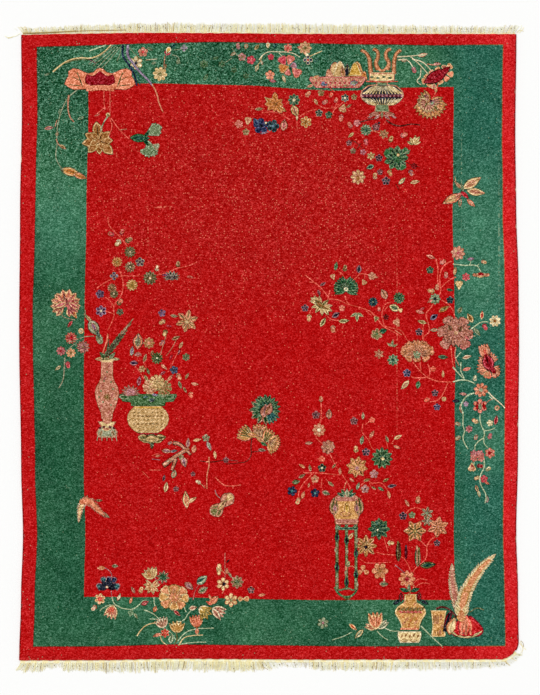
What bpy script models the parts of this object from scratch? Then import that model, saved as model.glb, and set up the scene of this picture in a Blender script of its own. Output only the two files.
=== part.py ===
"""Hand-knotted Chinese rug with a plain red field, lying flat, pile up.

Metres, +Z up, +X across the rug and +Y along its warps. The floor is z = 0, and the origin is the
middle of the floor that the rug and its fringes cover. The five solids are the pieces that a rug
maker would name: the knotted cloth, a cord overcast along each side, and the woven web with its
fringe of warp ends at each end.
"""

import math
import random

import bmesh
import bpy
from mathutils import Vector

MM = 0.001

# The knotted cloth
PILE_WIDTH = 2.705
PILE_LENGTH = 3.410
CLOTH_THICKNESS = 11 * MM
RIM_INSET = 4 * MM
RIM_DROP = 2.5 * MM
WORN_CORNER_RADIUS = 98 * MM
POINTS_PER_METRE = 9
CORNER_STEPS = 8

# The side cords
PIECE_GAP = 0.3 * MM
CORD_WIDTH = 7 * MM
CORD_HEIGHT = 6 * MM
CORD_SIDES = 8
CORDED_TURN = 0.68

# The end webs and the fringes
WEB_DEPTH = 9 * MM
WEB_HEIGHT = 3.2 * MM
TIP_HEIGHT = 1.4 * MM
LOCKS_PER_END = 146
ROOT_SHARE = 0.80
TIP_SHARE = 0.42
LOCK_STEPS = 2
LENGTH_SCATTER = 0.10
LEAN_SCATTER = 1.6 * MM
TOP_FRINGE = 56 * MM
BOTTOM_FRINGE = 66 * MM
FRINGED_TURN = 0.62
SEED = 11

# How far each edge bulges outwards: (share of the edge's run, bulge in mm). The runs go from the
# bottom up and from the left to the right.
LEFT_BULGE = (
    (0.00, 8), (0.10, -2), (0.20, -13), (0.31, -3), (0.52, 8), (0.72, 3), (0.88, -7), (1.00, -3),
)
RIGHT_BULGE = (
    (0.00, 4), (0.11, 0), (0.20, -10), (0.33, 0), (0.50, 6), (0.60, 3), (0.72, -10), (0.84, -15),
    (1.00, -9),
)
BOTTOM_BULGE = ((0.00, 2), (0.15, 1), (0.32, -6), (0.60, -2), (0.85, -3), (1.00, -4))
TOP_BULGE = ((0.00, -9), (0.08, -2), (0.25, 3), (0.55, 0), (0.80, 2), (1.00, 0))

# How the fringes lie: (share of the end's run, length as a share of the usual, lean in mm).
TOP_LIE = (
    (0.00, 0.95, -26), (0.02, 0.85, -12), (0.10, 0.90, 6), (0.25, 1.08, -4), (0.40, 1.00, 8),
    (0.52, 1.12, -3), (0.68, 0.96, 5), (0.80, 0.84, -4), (0.95, 0.80, 6), (1.00, 0.95, 30),
)
BOTTOM_LIE = (
    (0.00, 1.00, -22), (0.04, 1.02, -8), (0.066, 0.66, 6), (0.09, 1.00, -3), (0.22, 1.08, 5),
    (0.38, 1.02, -6), (0.49, 1.05, 4), (0.535, 0.80, 16), (0.58, 0.92, 4), (0.75, 1.00, -5),
    (0.90, 0.94, 5), (1.00, 0.90, 4),
)

FRINGE_SHIFT = (BOTTOM_FRINGE - TOP_FRINGE) / 2


def smooth_between(stations, share, column=1):
    """The value at share of a table of stations, eased from each station to the next."""
    rows = list(stations)
    for low, high in zip(rows, rows[1:]):
        if share <= high[0]:
            part = max(0.0, (share - low[0]) / (high[0] - low[0]))
            eased = part * part * (3 - 2 * part)
            return low[column] + (high[column] - low[column]) * eased
    return rows[-1][column]


def left_x(share):
    return -PILE_WIDTH / 2 - smooth_between(LEFT_BULGE, share) * MM


def right_x(share):
    return PILE_WIDTH / 2 + smooth_between(RIGHT_BULGE, share) * MM


def bottom_y(share):
    return -PILE_LENGTH / 2 - smooth_between(BOTTOM_BULGE, share) * MM + FRINGE_SHIFT


def top_y(share):
    return PILE_LENGTH / 2 + smooth_between(TOP_BULGE, share) * MM + FRINGE_SHIFT


def on_cloth(across, along):
    """The place on the cloth at these shares of its width and length."""
    x = left_x(along) + (right_x(along) - left_x(along)) * across
    y = bottom_y(across) + (top_y(across) - bottom_y(across)) * along
    return Vector((x, y, 0.0))


def shares(length):
    """Evenly spaced shares, 0 and 1 included, for an edge of this length."""
    steps = round(length * POINTS_PER_METRE)
    return [i / steps for i in range(steps + 1)]


def corner_centre():
    """The middle of the arc that the worn bottom right corner follows."""
    corner = on_cloth(1, 0)
    return corner + Vector((-WORN_CORNER_RADIUS, WORN_CORNER_RADIUS, 0))


def corner_arc(turn):
    """The place on the worn corner, from the bottom edge at turn 0 to the right edge at turn 1."""
    angle = math.radians(-90 + 90 * turn)
    return corner_centre() + WORN_CORNER_RADIUS * Vector((math.cos(angle), math.sin(angle), 0))


def bottom_edge():
    """The bottom edge from the left corner to where the worn corner begins."""
    points = [on_cloth(s, 0) for s in shares(PILE_WIDTH)]
    return [p for p in points if p.x < corner_centre().x - MM]


def right_edge():
    """The right edge from where the worn corner ends to the top corner."""
    points = [on_cloth(1, s) for s in shares(PILE_LENGTH)]
    return [p for p in points if p.y > corner_centre().y + MM]


def left_edge():
    """The left edge from the bottom corner to the top corner."""
    return [on_cloth(0, s) for s in shares(PILE_LENGTH)]


def top_edge():
    """The top edge from the left corner to the right corner."""
    return [on_cloth(s, 1) for s in shares(PILE_WIDTH)]


def worn_corner(first_turn=0.0, last_turn=1.0):
    """Points along the worn corner between two turns of its arc."""
    turns = last_turn - first_turn
    return [corner_arc(first_turn + turns * i / CORNER_STEPS) for i in range(CORNER_STEPS + 1)]


def cloth_outline():
    """The cloth's outline seen from above, counter-clockwise."""
    up_the_right = worn_corner() + right_edge()
    back_along_top = top_edge()[-2:0:-1]
    down_the_left = left_edge()[:0:-1]
    return bottom_edge() + up_the_right + back_along_top + down_the_left


def wool(name, colour, roughness):
    material = bpy.data.materials.new(name)
    material.use_nodes = True
    shader = material.node_tree.nodes["Principled BSDF"]
    shader.inputs["Base Color"].default_value = (*colour, 1.0)
    shader.inputs["Roughness"].default_value = roughness
    shader.inputs["Metallic"].default_value = 0.0
    return material


def object_from(bm, name, material):
    """Makes the finished bmesh an object in the scene."""
    bmesh.ops.recalc_face_normals(bm, faces=bm.faces)
    mesh = bpy.data.meshes.new(name)
    bm.to_mesh(mesh)
    bm.free()
    made = bpy.data.objects.new(name, mesh)
    made.data.materials.append(material)
    bpy.context.scene.collection.objects.link(made)
    return made


def make_cloth(material):
    """The knotted cloth: one slab, its pile rounded off round the rim."""
    bm = bmesh.new()
    base = bm.faces.new([bm.verts.new(p) for p in cloth_outline()])
    raised = bmesh.ops.extrude_face_region(bm, geom=[base])["geom"]
    lift = Vector((0, 0, CLOTH_THICKNESS - RIM_DROP))
    bmesh.ops.translate(bm, vec=lift, verts=[v for v in raised if isinstance(v, bmesh.types.BMVert)])
    bmesh.ops.recalc_face_normals(bm, faces=bm.faces)
    top = max(bm.faces, key=lambda f: f.calc_center_median().z)
    bmesh.ops.inset_region(bm, faces=[top], thickness=RIM_INSET, depth=RIM_DROP)
    return object_from(bm, "knotted_cloth", material)


def outward(points, i, outside):
    """The level direction square to a line of points at point i, towards outside."""
    run = points[min(i + 1, len(points) - 1)] - points[max(i - 1, 0)]
    normal = Vector((run.y, -run.x, 0)).normalized()
    return normal if normal.dot(outside) > 0 else -normal


def make_side_cord(name, edge, outside, material):
    """A cord of half-round section with a flat foot, along one side of the cloth."""
    reach = PIECE_GAP + CORD_WIDTH / 2
    bm = bmesh.new()
    rings = []
    for i, point in enumerate(edge):
        out = outward(edge, i, outside)
        ring = []
        for side in range(CORD_SIDES):
            angle = math.pi * side / (CORD_SIDES - 1)
            offset = out * (reach + CORD_WIDTH / 2 * math.cos(angle))
            ring.append(bm.verts.new(point + offset + Vector((0, 0, CORD_HEIGHT * math.sin(angle)))))
        rings.append(ring)
    for near, far in zip(rings, rings[1:]):
        for side in range(CORD_SIDES):
            after = (side + 1) % CORD_SIDES
            bm.faces.new((near[side], near[after], far[after], far[side]))
    bm.faces.new(rings[0])
    bm.faces.new(rings[-1])
    return object_from(bm, name, material)


class Rail:
    """A line of points read by distance along it, with the direction away from the cloth."""

    def __init__(self, points, outside):
        self.points = points
        self.outside = outside
        self.runs = [0.0]
        for here, there in zip(points, points[1:]):
            self.runs.append(self.runs[-1] + (there - here).length)

    def at(self, share):
        """(place, outward direction, direction along) at this share of the line's length."""
        distance = share * self.runs[-1]
        i = max(k for k in range(len(self.points) - 1) if self.runs[k] <= distance + 1e-9)
        part = (distance - self.runs[i]) / (self.runs[i + 1] - self.runs[i])
        place = self.points[i].lerp(self.points[i + 1], part)
        start = outward(self.points, i, self.outside)
        end = outward(self.points, i + 1, self.outside)
        out = start.lerp(end, part).normalized()
        return place, out, Vector((-out.y, out.x, 0)) * (1 if self.outside.y < 0 else -1)


def make_fringe(name, edge, outside, usual_length, lie, chance, material):
    """One end's woven web with its locks of warp ends, a comb of one solid that lies on the floor."""
    rail = Rail(edge, outside)
    pitch = 1 / LOCKS_PER_END
    bm = bmesh.new()
    thickness = bm.verts.layers.float.new("thickness")

    def floor_point(place, height):
        made = bm.verts.new(place)
        made[thickness] = height
        return made

    def web_pair(share):
        place, out, _ = rail.at(share)
        inner = floor_point(place + out * PIECE_GAP, WEB_HEIGHT)
        return inner, floor_point(place + out * (PIECE_GAP + WEB_DEPTH), WEB_HEIGHT)

    last_pair = web_pair(0)
    for i in range(LOCKS_PER_END):
        middle = (i + 0.5) * pitch
        near_pair = web_pair(middle - ROOT_SHARE * pitch / 2)
        far_pair = web_pair(middle + ROOT_SHARE * pitch / 2)
        for before, after in ((last_pair, near_pair), (near_pair, far_pair)):
            bm.faces.new((before[0], before[1], after[1], after[0]))
        last_pair = far_pair

        _, out, along = rail.at(middle)
        left, right = near_pair[1], far_pair[1]
        root = (left.co + right.co) / 2
        half_root = (right.co - left.co).length / 2
        scatter = 1 + LENGTH_SCATTER * chance.uniform(-1, 1)
        length = usual_length * smooth_between(lie, middle) * scatter - WEB_DEPTH
        lean = smooth_between(lie, middle, column=2) * MM + LEAN_SCATTER * chance.uniform(-1, 1)
        for step in range(1, LOCK_STEPS + 1):
            part = step / LOCK_STEPS
            centre = root + out * length * part + along * lean * part**1.5
            half = half_root * (1 + (TIP_SHARE / ROOT_SHARE - 1) * part)
            height = WEB_HEIGHT + (TIP_HEIGHT - WEB_HEIGHT) * part
            next_left = floor_point(centre - along * half, height)
            next_right = floor_point(centre + along * half, height)
            bm.faces.new((left, next_left, next_right, right))
            left, right = next_left, next_right
    end_pair = web_pair(1)
    bm.faces.new((last_pair[0], last_pair[1], end_pair[1], end_pair[0]))

    raised = bmesh.ops.extrude_face_region(bm, geom=list(bm.faces))["geom"]
    for made in raised:
        if isinstance(made, bmesh.types.BMVert):
            made.co.z = made[thickness]
    return object_from(bm, name, material)


def main():
    for leftover in list(bpy.data.objects):
        bpy.data.objects.remove(leftover, do_unlink=True)
    chance = random.Random(SEED)
    pile_wool = wool("pile_wool", (0.44, 0.010, 0.010), 0.95)
    cord_wool = wool("overcast_wool", (0.30, 0.010, 0.012), 0.90)
    warp_cotton = wool("warp_cotton", (0.80, 0.74, 0.52), 0.90)

    make_cloth(pile_wool)
    make_side_cord("side_cord_left", left_edge(), Vector((-1, 0, 0)), cord_wool)
    right_line = worn_corner(first_turn=CORDED_TURN) + right_edge()
    make_side_cord("side_cord_right", right_line, Vector((1, 0, 0)), cord_wool)
    make_fringe("fringe_top", top_edge(), Vector((0, 1, 0)), TOP_FRINGE, TOP_LIE, chance, warp_cotton)
    bottom_line = bottom_edge() + worn_corner(last_turn=FRINGED_TURN)
    down = Vector((0, -1, 0))
    make_fringe("fringe_bottom", bottom_line, down, BOTTOM_FRINGE, BOTTOM_LIE, chance, warp_cotton)


main()
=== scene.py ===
# %% [markdown]
# # A worn Chinese rug of the 1920s, seen from straight above
# The real thing is a room-size carpet: wool knots on cotton warps, a plain red field, a green band
# between red guards, sprays of flowers, jars and insects strewn over field and band alike, and the
# warp ends left as fringe. The solids of the frame give its size and its uneven outline. This
# script adds the looks: the pile, the motifs worked into it, the overcast sides and the fringe.

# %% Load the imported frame
import math
import random

import bpy
from mathutils import Matrix, Vector, noise


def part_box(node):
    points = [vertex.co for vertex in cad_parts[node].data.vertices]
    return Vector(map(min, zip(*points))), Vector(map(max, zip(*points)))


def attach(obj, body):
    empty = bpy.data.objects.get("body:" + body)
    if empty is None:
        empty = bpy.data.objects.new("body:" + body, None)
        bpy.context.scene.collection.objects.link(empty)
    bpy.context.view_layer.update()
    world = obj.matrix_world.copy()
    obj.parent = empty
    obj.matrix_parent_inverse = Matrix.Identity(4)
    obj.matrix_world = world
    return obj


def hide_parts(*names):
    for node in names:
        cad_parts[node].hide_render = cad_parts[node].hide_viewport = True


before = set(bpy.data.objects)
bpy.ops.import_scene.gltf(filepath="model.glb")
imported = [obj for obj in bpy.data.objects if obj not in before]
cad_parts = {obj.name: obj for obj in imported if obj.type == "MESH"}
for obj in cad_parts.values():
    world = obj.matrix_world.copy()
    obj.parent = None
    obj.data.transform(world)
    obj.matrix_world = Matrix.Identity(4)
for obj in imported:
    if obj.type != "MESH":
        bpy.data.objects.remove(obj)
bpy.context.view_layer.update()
cloth_low, cloth_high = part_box("knotted_cloth")
bpy.ops.object.select_all(action="DESELECT")
MM = 0.001
print("the knotted cloth is", round(cloth_high.x - cloth_low.x, 3), "m wide")

# %% [markdown]
# ## Where things are in the photograph
# The rug was photographed square on, so one scale serves for the whole picture: a pixel is
# 5.46 mm. The motifs are placed by the pixel at which each one shows, and this helper turns
# such a pixel into metres on the floor. Their sizes are written in millimetres.

# %% Photograph to floor
PIXEL = 5.46 * MM
PICTURE_WIDE, PICTURE_HIGH = 540, 695
ORIGIN_ACROSS, ORIGIN_DOWN = 269.3, 347.4


def from_photo(across, down):
    """The place on the floor that shows at this pixel of the photograph."""
    return Vector(((across - ORIGIN_ACROSS) * PIXEL, (ORIGIN_DOWN - down) * PIXEL, 0))


print("the picture takes in", round(PICTURE_HIGH * PIXEL, 2), "m of floor")

# %% [markdown]
# ## Floor, light and camera
# A copy stand lights a carpet evenly, so most of the light here comes from a white world, and one
# wide, low-contrast sun from the upper left lets the pile and the carved motifs cast a little
# shade. The Standard view transform keeps the dyes as bright as they are set. The camera looks
# straight down through a long lens, which keeps the far corners from leaning.

# %% Studio
scene = bpy.context.scene
scene.view_settings.view_transform = "Standard"
WORLD_LIGHT = 0.76
SUN_LIGHT = 1.35

scene.world = bpy.data.worlds.new("soft_studio")
scene.world.use_nodes = True
scene.world.node_tree.nodes["Background"].inputs["Color"].default_value = (1, 1, 1, 1)
scene.world.node_tree.nodes["Background"].inputs["Strength"].default_value = WORLD_LIGHT

sun_turn = (math.radians(-35), math.radians(-32), 0)
bpy.ops.object.light_add(type="SUN", location=(-3, 4, 6), rotation=sun_turn)
sun = bpy.context.object
sun.data.energy = SUN_LIGHT
sun.data.angle = math.radians(35)

bpy.ops.mesh.primitive_plane_add(size=30)
floor = bpy.context.object
floor.name = "studio_floor"
floor_paint = bpy.data.materials.new("studio_floor_paint")
floor_paint.use_nodes = True
floor_paint.node_tree.nodes["Principled BSDF"].inputs["Base Color"].default_value = (0.93, 0.93, 0.92, 1)
floor_paint.node_tree.nodes["Principled BSDF"].inputs["Roughness"].default_value = 0.9
floor.data.materials.append(floor_paint)
print("floor, world and sun are in place")

# %% Camera
LENS = 100
SENSOR = 36
camera_height = PICTURE_HIGH * PIXEL * LENS / SENSOR
camera_spot = from_photo(PICTURE_WIDE / 2, PICTURE_HIGH / 2)
bpy.ops.object.camera_add(location=(camera_spot.x, camera_spot.y, cloth_high.z + camera_height))
camera = bpy.context.object
camera.data.lens = LENS
camera.data.sensor_width = SENSOR
camera.data.clip_end = 100
scene.camera = camera
print("the camera hangs", round(camera_height, 2), "m above the pile")

# %% [markdown]
# ## The outline of the cloth
# A hand-woven rug is never a true rectangle. Each edge is a straight line that bulges by a few
# millimetres from station to station, and the bottom right corner is worn round. The sides are
# the frame's own. At the two ends the cut pile leans out a few millimetres over the web, as it
# does on a real rug, where nothing holds it back.

# %% Edges
PILE_WIDTH = 2.705
PILE_LENGTH = 3.410
FRINGE_SHIFT = 5 * MM
WORN_CORNER_RADIUS = 98 * MM

# (share of the edge's run, outward bulge in mm), from the bottom up and from left to right
LEFT_BULGE = (
    (0.00, 8), (0.10, -2), (0.20, -13), (0.31, -3), (0.52, 8), (0.72, 3), (0.88, -7), (1.00, -3),
)
RIGHT_BULGE = (
    (0.00, 4), (0.11, 0), (0.20, -10), (0.33, 0), (0.50, 6), (0.60, 3), (0.72, -10), (0.84, -15),
    (1.00, -9),
)
BOTTOM_BULGE = ((0.00, 9), (0.15, 8), (0.32, 1), (0.60, 5), (0.85, 4), (1.00, 3))
TOP_BULGE = ((0.00, -3), (0.08, 2), (0.25, 8), (0.42, 6), (0.55, 2), (0.80, 2), (1.00, 1))


def smooth_between(stations, share, column=1):
    """The value at share of a table of stations, eased from each station to the next."""
    for low, high in zip(stations, stations[1:]):
        if share <= high[0]:
            part = max(0.0, (share - low[0]) / (high[0] - low[0]))
            eased = part * part * (3 - 2 * part)
            return low[column] + (high[column] - low[column]) * eased
    return stations[-1][column]


def on_cloth(across, along):
    """The place on the cloth at these shares of its width and length."""
    left = -PILE_WIDTH / 2 - smooth_between(LEFT_BULGE, along) * MM
    right = PILE_WIDTH / 2 + smooth_between(RIGHT_BULGE, along) * MM
    bottom = -PILE_LENGTH / 2 - smooth_between(BOTTOM_BULGE, across) * MM + FRINGE_SHIFT
    top = PILE_LENGTH / 2 + smooth_between(TOP_BULGE, across) * MM + FRINGE_SHIFT
    return Vector((left + (right - left) * across, bottom + (top - bottom) * along, 0))


corner_centre = on_cloth(1, 0) + Vector((-WORN_CORNER_RADIUS, WORN_CORNER_RADIUS, 0))


def worn_round(place):
    """Moves a place in the bottom right corner's square into the quarter circle that is left."""
    right = (place.x - corner_centre.x) / WORN_CORNER_RADIUS
    down = (corner_centre.y - place.y) / WORN_CORNER_RADIUS
    if right <= 0 or down <= 0:
        return place
    round_right = right * math.sqrt(max(0, 1 - down * down / 2))
    round_down = down * math.sqrt(max(0, 1 - right * right / 2))
    return corner_centre + Vector((round_right, -round_down, 0)) * WORN_CORNER_RADIUS


print("worn corner round", [round(v, 3) for v in corner_centre])

# %% [markdown]
# ## Materials in few words
# A Blender material is a graph of nodes. This small class adds nodes and joins them, so that each
# material below reads as a recipe. A value that is itself a node's output is joined, and any other
# value is typed into the socket.

# %% Recipe for a material
class Recipe:
    """The nodes of one material, added and joined in few words."""

    def __init__(self, name):
        self.material = bpy.data.materials.new(name)
        self.material.use_nodes = True
        self.tree = self.material.node_tree
        self.shader = self.tree.nodes["Principled BSDF"]

    def feed(self, socket, value):
        """Joins an output to the socket, or types a plain value into it."""
        if isinstance(value, bpy.types.NodeSocket):
            self.tree.links.new(value, socket)
        elif value is not None:
            socket.default_value = value

    def node(self, kind, **settings):
        """A new node with these settings."""
        made = self.tree.nodes.new(kind)
        for name, value in settings.items():
            setattr(made, name, value)
        return made

    def maths(self, operation, *values):
        """One step of arithmetic."""
        made = self.node("ShaderNodeMath", operation=operation)
        for socket, value in zip(made.inputs, values):
            self.feed(socket, value)
        return made.outputs["Value"]

    def scaled(self, colour, factor):
        """The colour times a number."""
        made = self.node("ShaderNodeVectorMath", operation="SCALE")
        self.feed(made.inputs["Vector"], colour)
        self.feed(made.inputs["Scale"], factor)
        return made.outputs["Vector"]

    def added(self, colour, other):
        """The sum of two colours or places."""
        made = self.node("ShaderNodeVectorMath", operation="ADD")
        self.feed(made.inputs[0], colour)
        self.feed(made.inputs[1], other)
        return made.outputs["Vector"]

    def mixed(self, share, first, second):
        """The first colour where share is 0, the second where it is 1."""
        made = self.node("ShaderNodeMix", data_type="RGBA")
        in_use = {socket.name: socket for socket in made.inputs if socket.enabled}
        self.feed(in_use["Factor"], share)
        self.feed(in_use["A"], first)
        self.feed(in_use["B"], second)
        return next(socket for socket in made.outputs if socket.enabled)

    def noise(self, place, size, detail=0.0):
        """A soft random value whose blots are about this size, in metres, with a spread near 1."""
        made = self.node("ShaderNodeTexNoise")
        self.feed(made.inputs["Vector"], place)
        self.feed(made.inputs["Scale"], 1 / size)
        self.feed(made.inputs["Detail"], detail)
        return self.maths("MULTIPLY_ADD", made.outputs["Fac"], 7.5, -3.75)

    def tufts(self, place, size):
        """A random value for each clump of knots of this size, with a spread near 1."""
        made = self.node("ShaderNodeTexVoronoi")
        self.feed(made.inputs["Vector"], place)
        self.feed(made.inputs["Scale"], 1 / size)
        split = self.node("ShaderNodeSeparateColor")
        self.feed(split.inputs["Color"], made.outputs["Color"])
        return self.maths("MULTIPLY_ADD", split.outputs["Red"], 3.4, -1.7)

    def flecks(self, place, spacing, share, size):
        """1 on small specks of this size, one in each cell of the spacing, on a share of the cells."""
        made = self.node("ShaderNodeTexVoronoi")
        self.feed(made.inputs["Vector"], place)
        self.feed(made.inputs["Scale"], 1 / spacing)
        split = self.node("ShaderNodeSeparateColor")
        self.feed(split.inputs["Color"], made.outputs["Color"])
        chosen = self.maths("LESS_THAN", split.outputs["Green"], share)
        reach = size / spacing / 2
        near = self.ramp(made.outputs["Distance"], 1.25 * reach, 0.6 * reach)
        return self.maths("MULTIPLY", chosen, near)

    def stretched(self, place, factors):
        """The place with each axis multiplied by its factor."""
        made = self.node("ShaderNodeVectorMath", operation="MULTIPLY")
        self.feed(made.inputs[0], place)
        made.inputs[1].default_value = factors
        return made.outputs["Vector"]

    def ramp(self, value, low, high):
        """0 below low, 1 above high and eased between them."""
        made = self.node("ShaderNodeMapRange", interpolation_type="SMOOTHSTEP")
        self.feed(made.inputs["Value"], value)
        self.feed(made.inputs["From Min"], low)
        self.feed(made.inputs["From Max"], high)
        return made.outputs["Result"]

    def along(self, share, stations):
        """The value at share of a table of (share, value), eased from each station to the next."""
        made = self.node("ShaderNodeFloatCurve")
        points = made.mapping.curves[0].points
        points[0].location, points[-1].location = stations[0], stations[-1]
        for station in stations[1:-1]:
            points.new(*station)
        made.mapping.update()
        self.feed(made.inputs["Value"], share)
        return made.outputs["Value"]

    def place(self):
        """Where a point of the surface is, in metres."""
        return self.node("ShaderNodeTexCoord").outputs["Object"]


STUDIO_BRIGHTNESS = 1.06


def dye(red, green, blue):
    """A colour as it shows in the photograph, 0 to 255 a channel, as a colour for a shader."""

    def linear(value):
        share = value / 255
        return share / 12.92 if share <= 0.04045 else ((share + 0.055) / 1.055) ** 2.4

    return tuple(linear(value) / STUDIO_BRIGHTNESS for value in (red, green, blue)) + (1.0,)


print("recipes ready")

# %% [markdown]
# ## Worn wool
# Seen from above, a wool pile isn't one colour: each clump of knots takes the dye and the light a
# little differently, and where feet have worn the pile, pale ends sparkle through. To the eye the
# grain is as strong on green as on red, so it is added on the eye's scale, which a Gamma node
# gives, and turned back after. The lights reach further than the darks. Field, bands and motifs
# all get this same grain, and worn places have more of it.

# %% Grain of the pile
CLUMP = 4.6 * MM
ROW = 6.5 * MM
EYE_GAMMA = 2.2


def powered(recipe, colour, power):
    """The colour with each channel raised to this power."""
    made = recipe.node("ShaderNodeGamma")
    recipe.feed(made.inputs["Color"], colour)
    recipe.feed(made.inputs["Gamma"], power)
    return made.outputs["Color"]


def grained(recipe, dyed, strength):
    """The dyed pile's colour with its grain, and that grain's value for a bump."""
    place = recipe.place()
    clumps = recipe.tufts(place, CLUMP)
    rows = recipe.tufts(recipe.stretched(place, (0.8, 1.2, 1)), ROW)
    spread = recipe.maths("MULTIPLY_ADD", clumps, 0.85, recipe.maths("MULTIPLY", rows, 0.52))
    lights = recipe.maths("MULTIPLY_ADD", recipe.maths("MAXIMUM", spread, 0.0), 0.22, 1.0)
    grain = recipe.maths("MULTIPLY", recipe.maths("MULTIPLY", spread, lights), strength)
    seen = recipe.added(powered(recipe, dyed, 1 / EYE_GAMMA), grain)
    clipped = recipe.node("ShaderNodeVectorMath", operation="MAXIMUM")
    recipe.feed(clipped.inputs[0], seen)
    clipped.inputs[1].default_value = (0, 0, 0)
    return powered(recipe, clipped.outputs["Vector"], EYE_GAMMA), spread


def finish_wool(recipe, colour, spread, bump=1.2 * MM):
    """Colour, softness and bump of a wool surface."""
    relief = recipe.node("ShaderNodeBump")
    relief.inputs["Strength"].default_value = 0.5
    relief.inputs["Distance"].default_value = bump
    recipe.feed(relief.inputs["Height"], spread)
    recipe.feed(recipe.shader.inputs["Base Color"], colour)
    recipe.feed(recipe.shader.inputs["Normal"], relief.outputs["Normal"])
    recipe.shader.inputs["Roughness"].default_value = 1.0
    recipe.shader.inputs["Specular IOR Level"].default_value = 0.03
    recipe.shader.inputs["Sheen Weight"].default_value = 0.01
    recipe.shader.inputs["Sheen Roughness"].default_value = 0.5
    return recipe.material


print("a clump of knots is", CLUMP / MM, "mm across")

# %% [markdown]
# ## Bands that follow the edges
# A weaver counts the border's knots in from each edge, so the bands wander as the edges do. The
# pile carries a UV map in shares of its width and length, and the material turns it into metres
# from each edge. A point is in the field where its nearest edge is further away than the border is
# wide. A little noise at the size of a knot keeps the lines from being ruler-straight.

# %% Dyes of field and bands
FIELD_RED = dye(182, 9, 10)
WORN_RED = dye(176, 17, 15)
GUARD_RED = dye(189, 17, 18)
GUARD_RIGHT = dye(212, 30, 33)
BAND_GREEN = dye(60, 113, 80)
BAND_GREEN_DEEP = dye(32, 84, 57)
BAND_GREEN_TEAL = dye(41, 99, 80)
BAND_LIGHT = dye(68, 126, 97)
# Where the band is darker, and where it is paler: the middle pixel and the half width and height in metres
SHADED_PATCHES = ((62, 440, 0.35, 1.5), (56, 590, 0.45, 0.7))
LIGHT_PATCHES = (
    (58, 228, 0.30, 0.40), (482, 225, 0.30, 0.55), (480, 285, 0.25, 0.35), (490, 440, 0.2, 0.3),
)
# Pale streaks where the warp shows: the middle pixel and the half width and height in metres
STREAKS = (
    (461.5, 178, 0.005, 0.40), (148, 232, 0.004, 0.17), (397, 330, 0.004, 0.8), (499, 245, 0.007, 0.6),
    (161, 207, 0.065, 0.009),
)
TIP_ON_RED = dye(244, 130, 104)
TIP_ON_GREEN = dye(136, 160, 128)
# Painted shade: the dark of small sunk pits in the pile, on red and on green
PIT_SHADE = dye(62, 12, 10)
PIT_SHADE_ON_GREEN = dye(20, 48, 40)
LINE_DARK = dye(62, 42, 28)
LINE_PALE = dye(132, 98, 52)

# How far in from each edge the guard ends and the field begins, in metres, by the share of that
# edge's run, from the bottom up and from left to right
GUARD_WIDTHS = (
    ((0, 0.068), (0.2, 0.071), (0.4, 0.071), (0.57, 0.069), (0.7, 0.077), (0.85, 0.080), (1, 0.079)),
    ((0, 0.068), (0.2, 0.067), (0.35, 0.069), (0.6, 0.070), (0.75, 0.067), (1, 0.069)),
    ((0, 0.073), (0.15, 0.077), (0.45, 0.078), (0.62, 0.074), (1, 0.074)),
    (
        (0, 0.066), (0.08, 0.066), (0.2, 0.062), (0.32, 0.053), (0.42, 0.049), (0.62, 0.055),
        (0.76, 0.060), (1, 0.059),
    ),
)
BORDER_WIDTHS = (
    ((0, 0.340), (0.3, 0.338), (0.4, 0.342), (0.68, 0.356), (0.75, 0.3585), (1, 0.359)),
    ((0, 0.340), (0.25, 0.339), (0.4, 0.341), (0.68, 0.345), (0.8, 0.338), (1, 0.338)),
    ((0, 0.344), (0.14, 0.344), (0.28, 0.338), (0.46, 0.329), (0.6, 0.326), (1, 0.324)),
    ((0, 0.286), (0.45, 0.284), (0.56, 0.300), (0.64, 0.3095), (0.8, 0.293), (1, 0.290)),
)


def inset_from_edges(recipe, edges, limits):
    """Metres inside a frame whose sides stand these limits in from the four edges."""
    insides = [recipe.maths("SUBTRACT", edge, limit) for edge, limit in zip(edges, limits)]
    sides = recipe.maths("MINIMUM", insides[0], insides[1])
    ends = recipe.maths("MINIMUM", insides[2], insides[3])
    return recipe.maths("MINIMUM", sides, ends)


def patch(recipe, across, down, wide, high):
    """1 in the middle of a worn patch of this size about a pixel of the photograph, 0 outside it."""
    centre = from_photo(across, down)
    moved = recipe.node("ShaderNodeVectorMath", operation="SUBTRACT")
    recipe.feed(moved.inputs[0], recipe.place())
    moved.inputs[1].default_value = centre
    length = recipe.node("ShaderNodeVectorMath", operation="LENGTH")
    recipe.feed(length.inputs[0], recipe.stretched(moved.outputs["Vector"], (1 / wide, 1 / high, 0)))
    return recipe.maths("SUBTRACT", 1.0, recipe.ramp(length.outputs["Value"], 0.0, 1.0))


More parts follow.
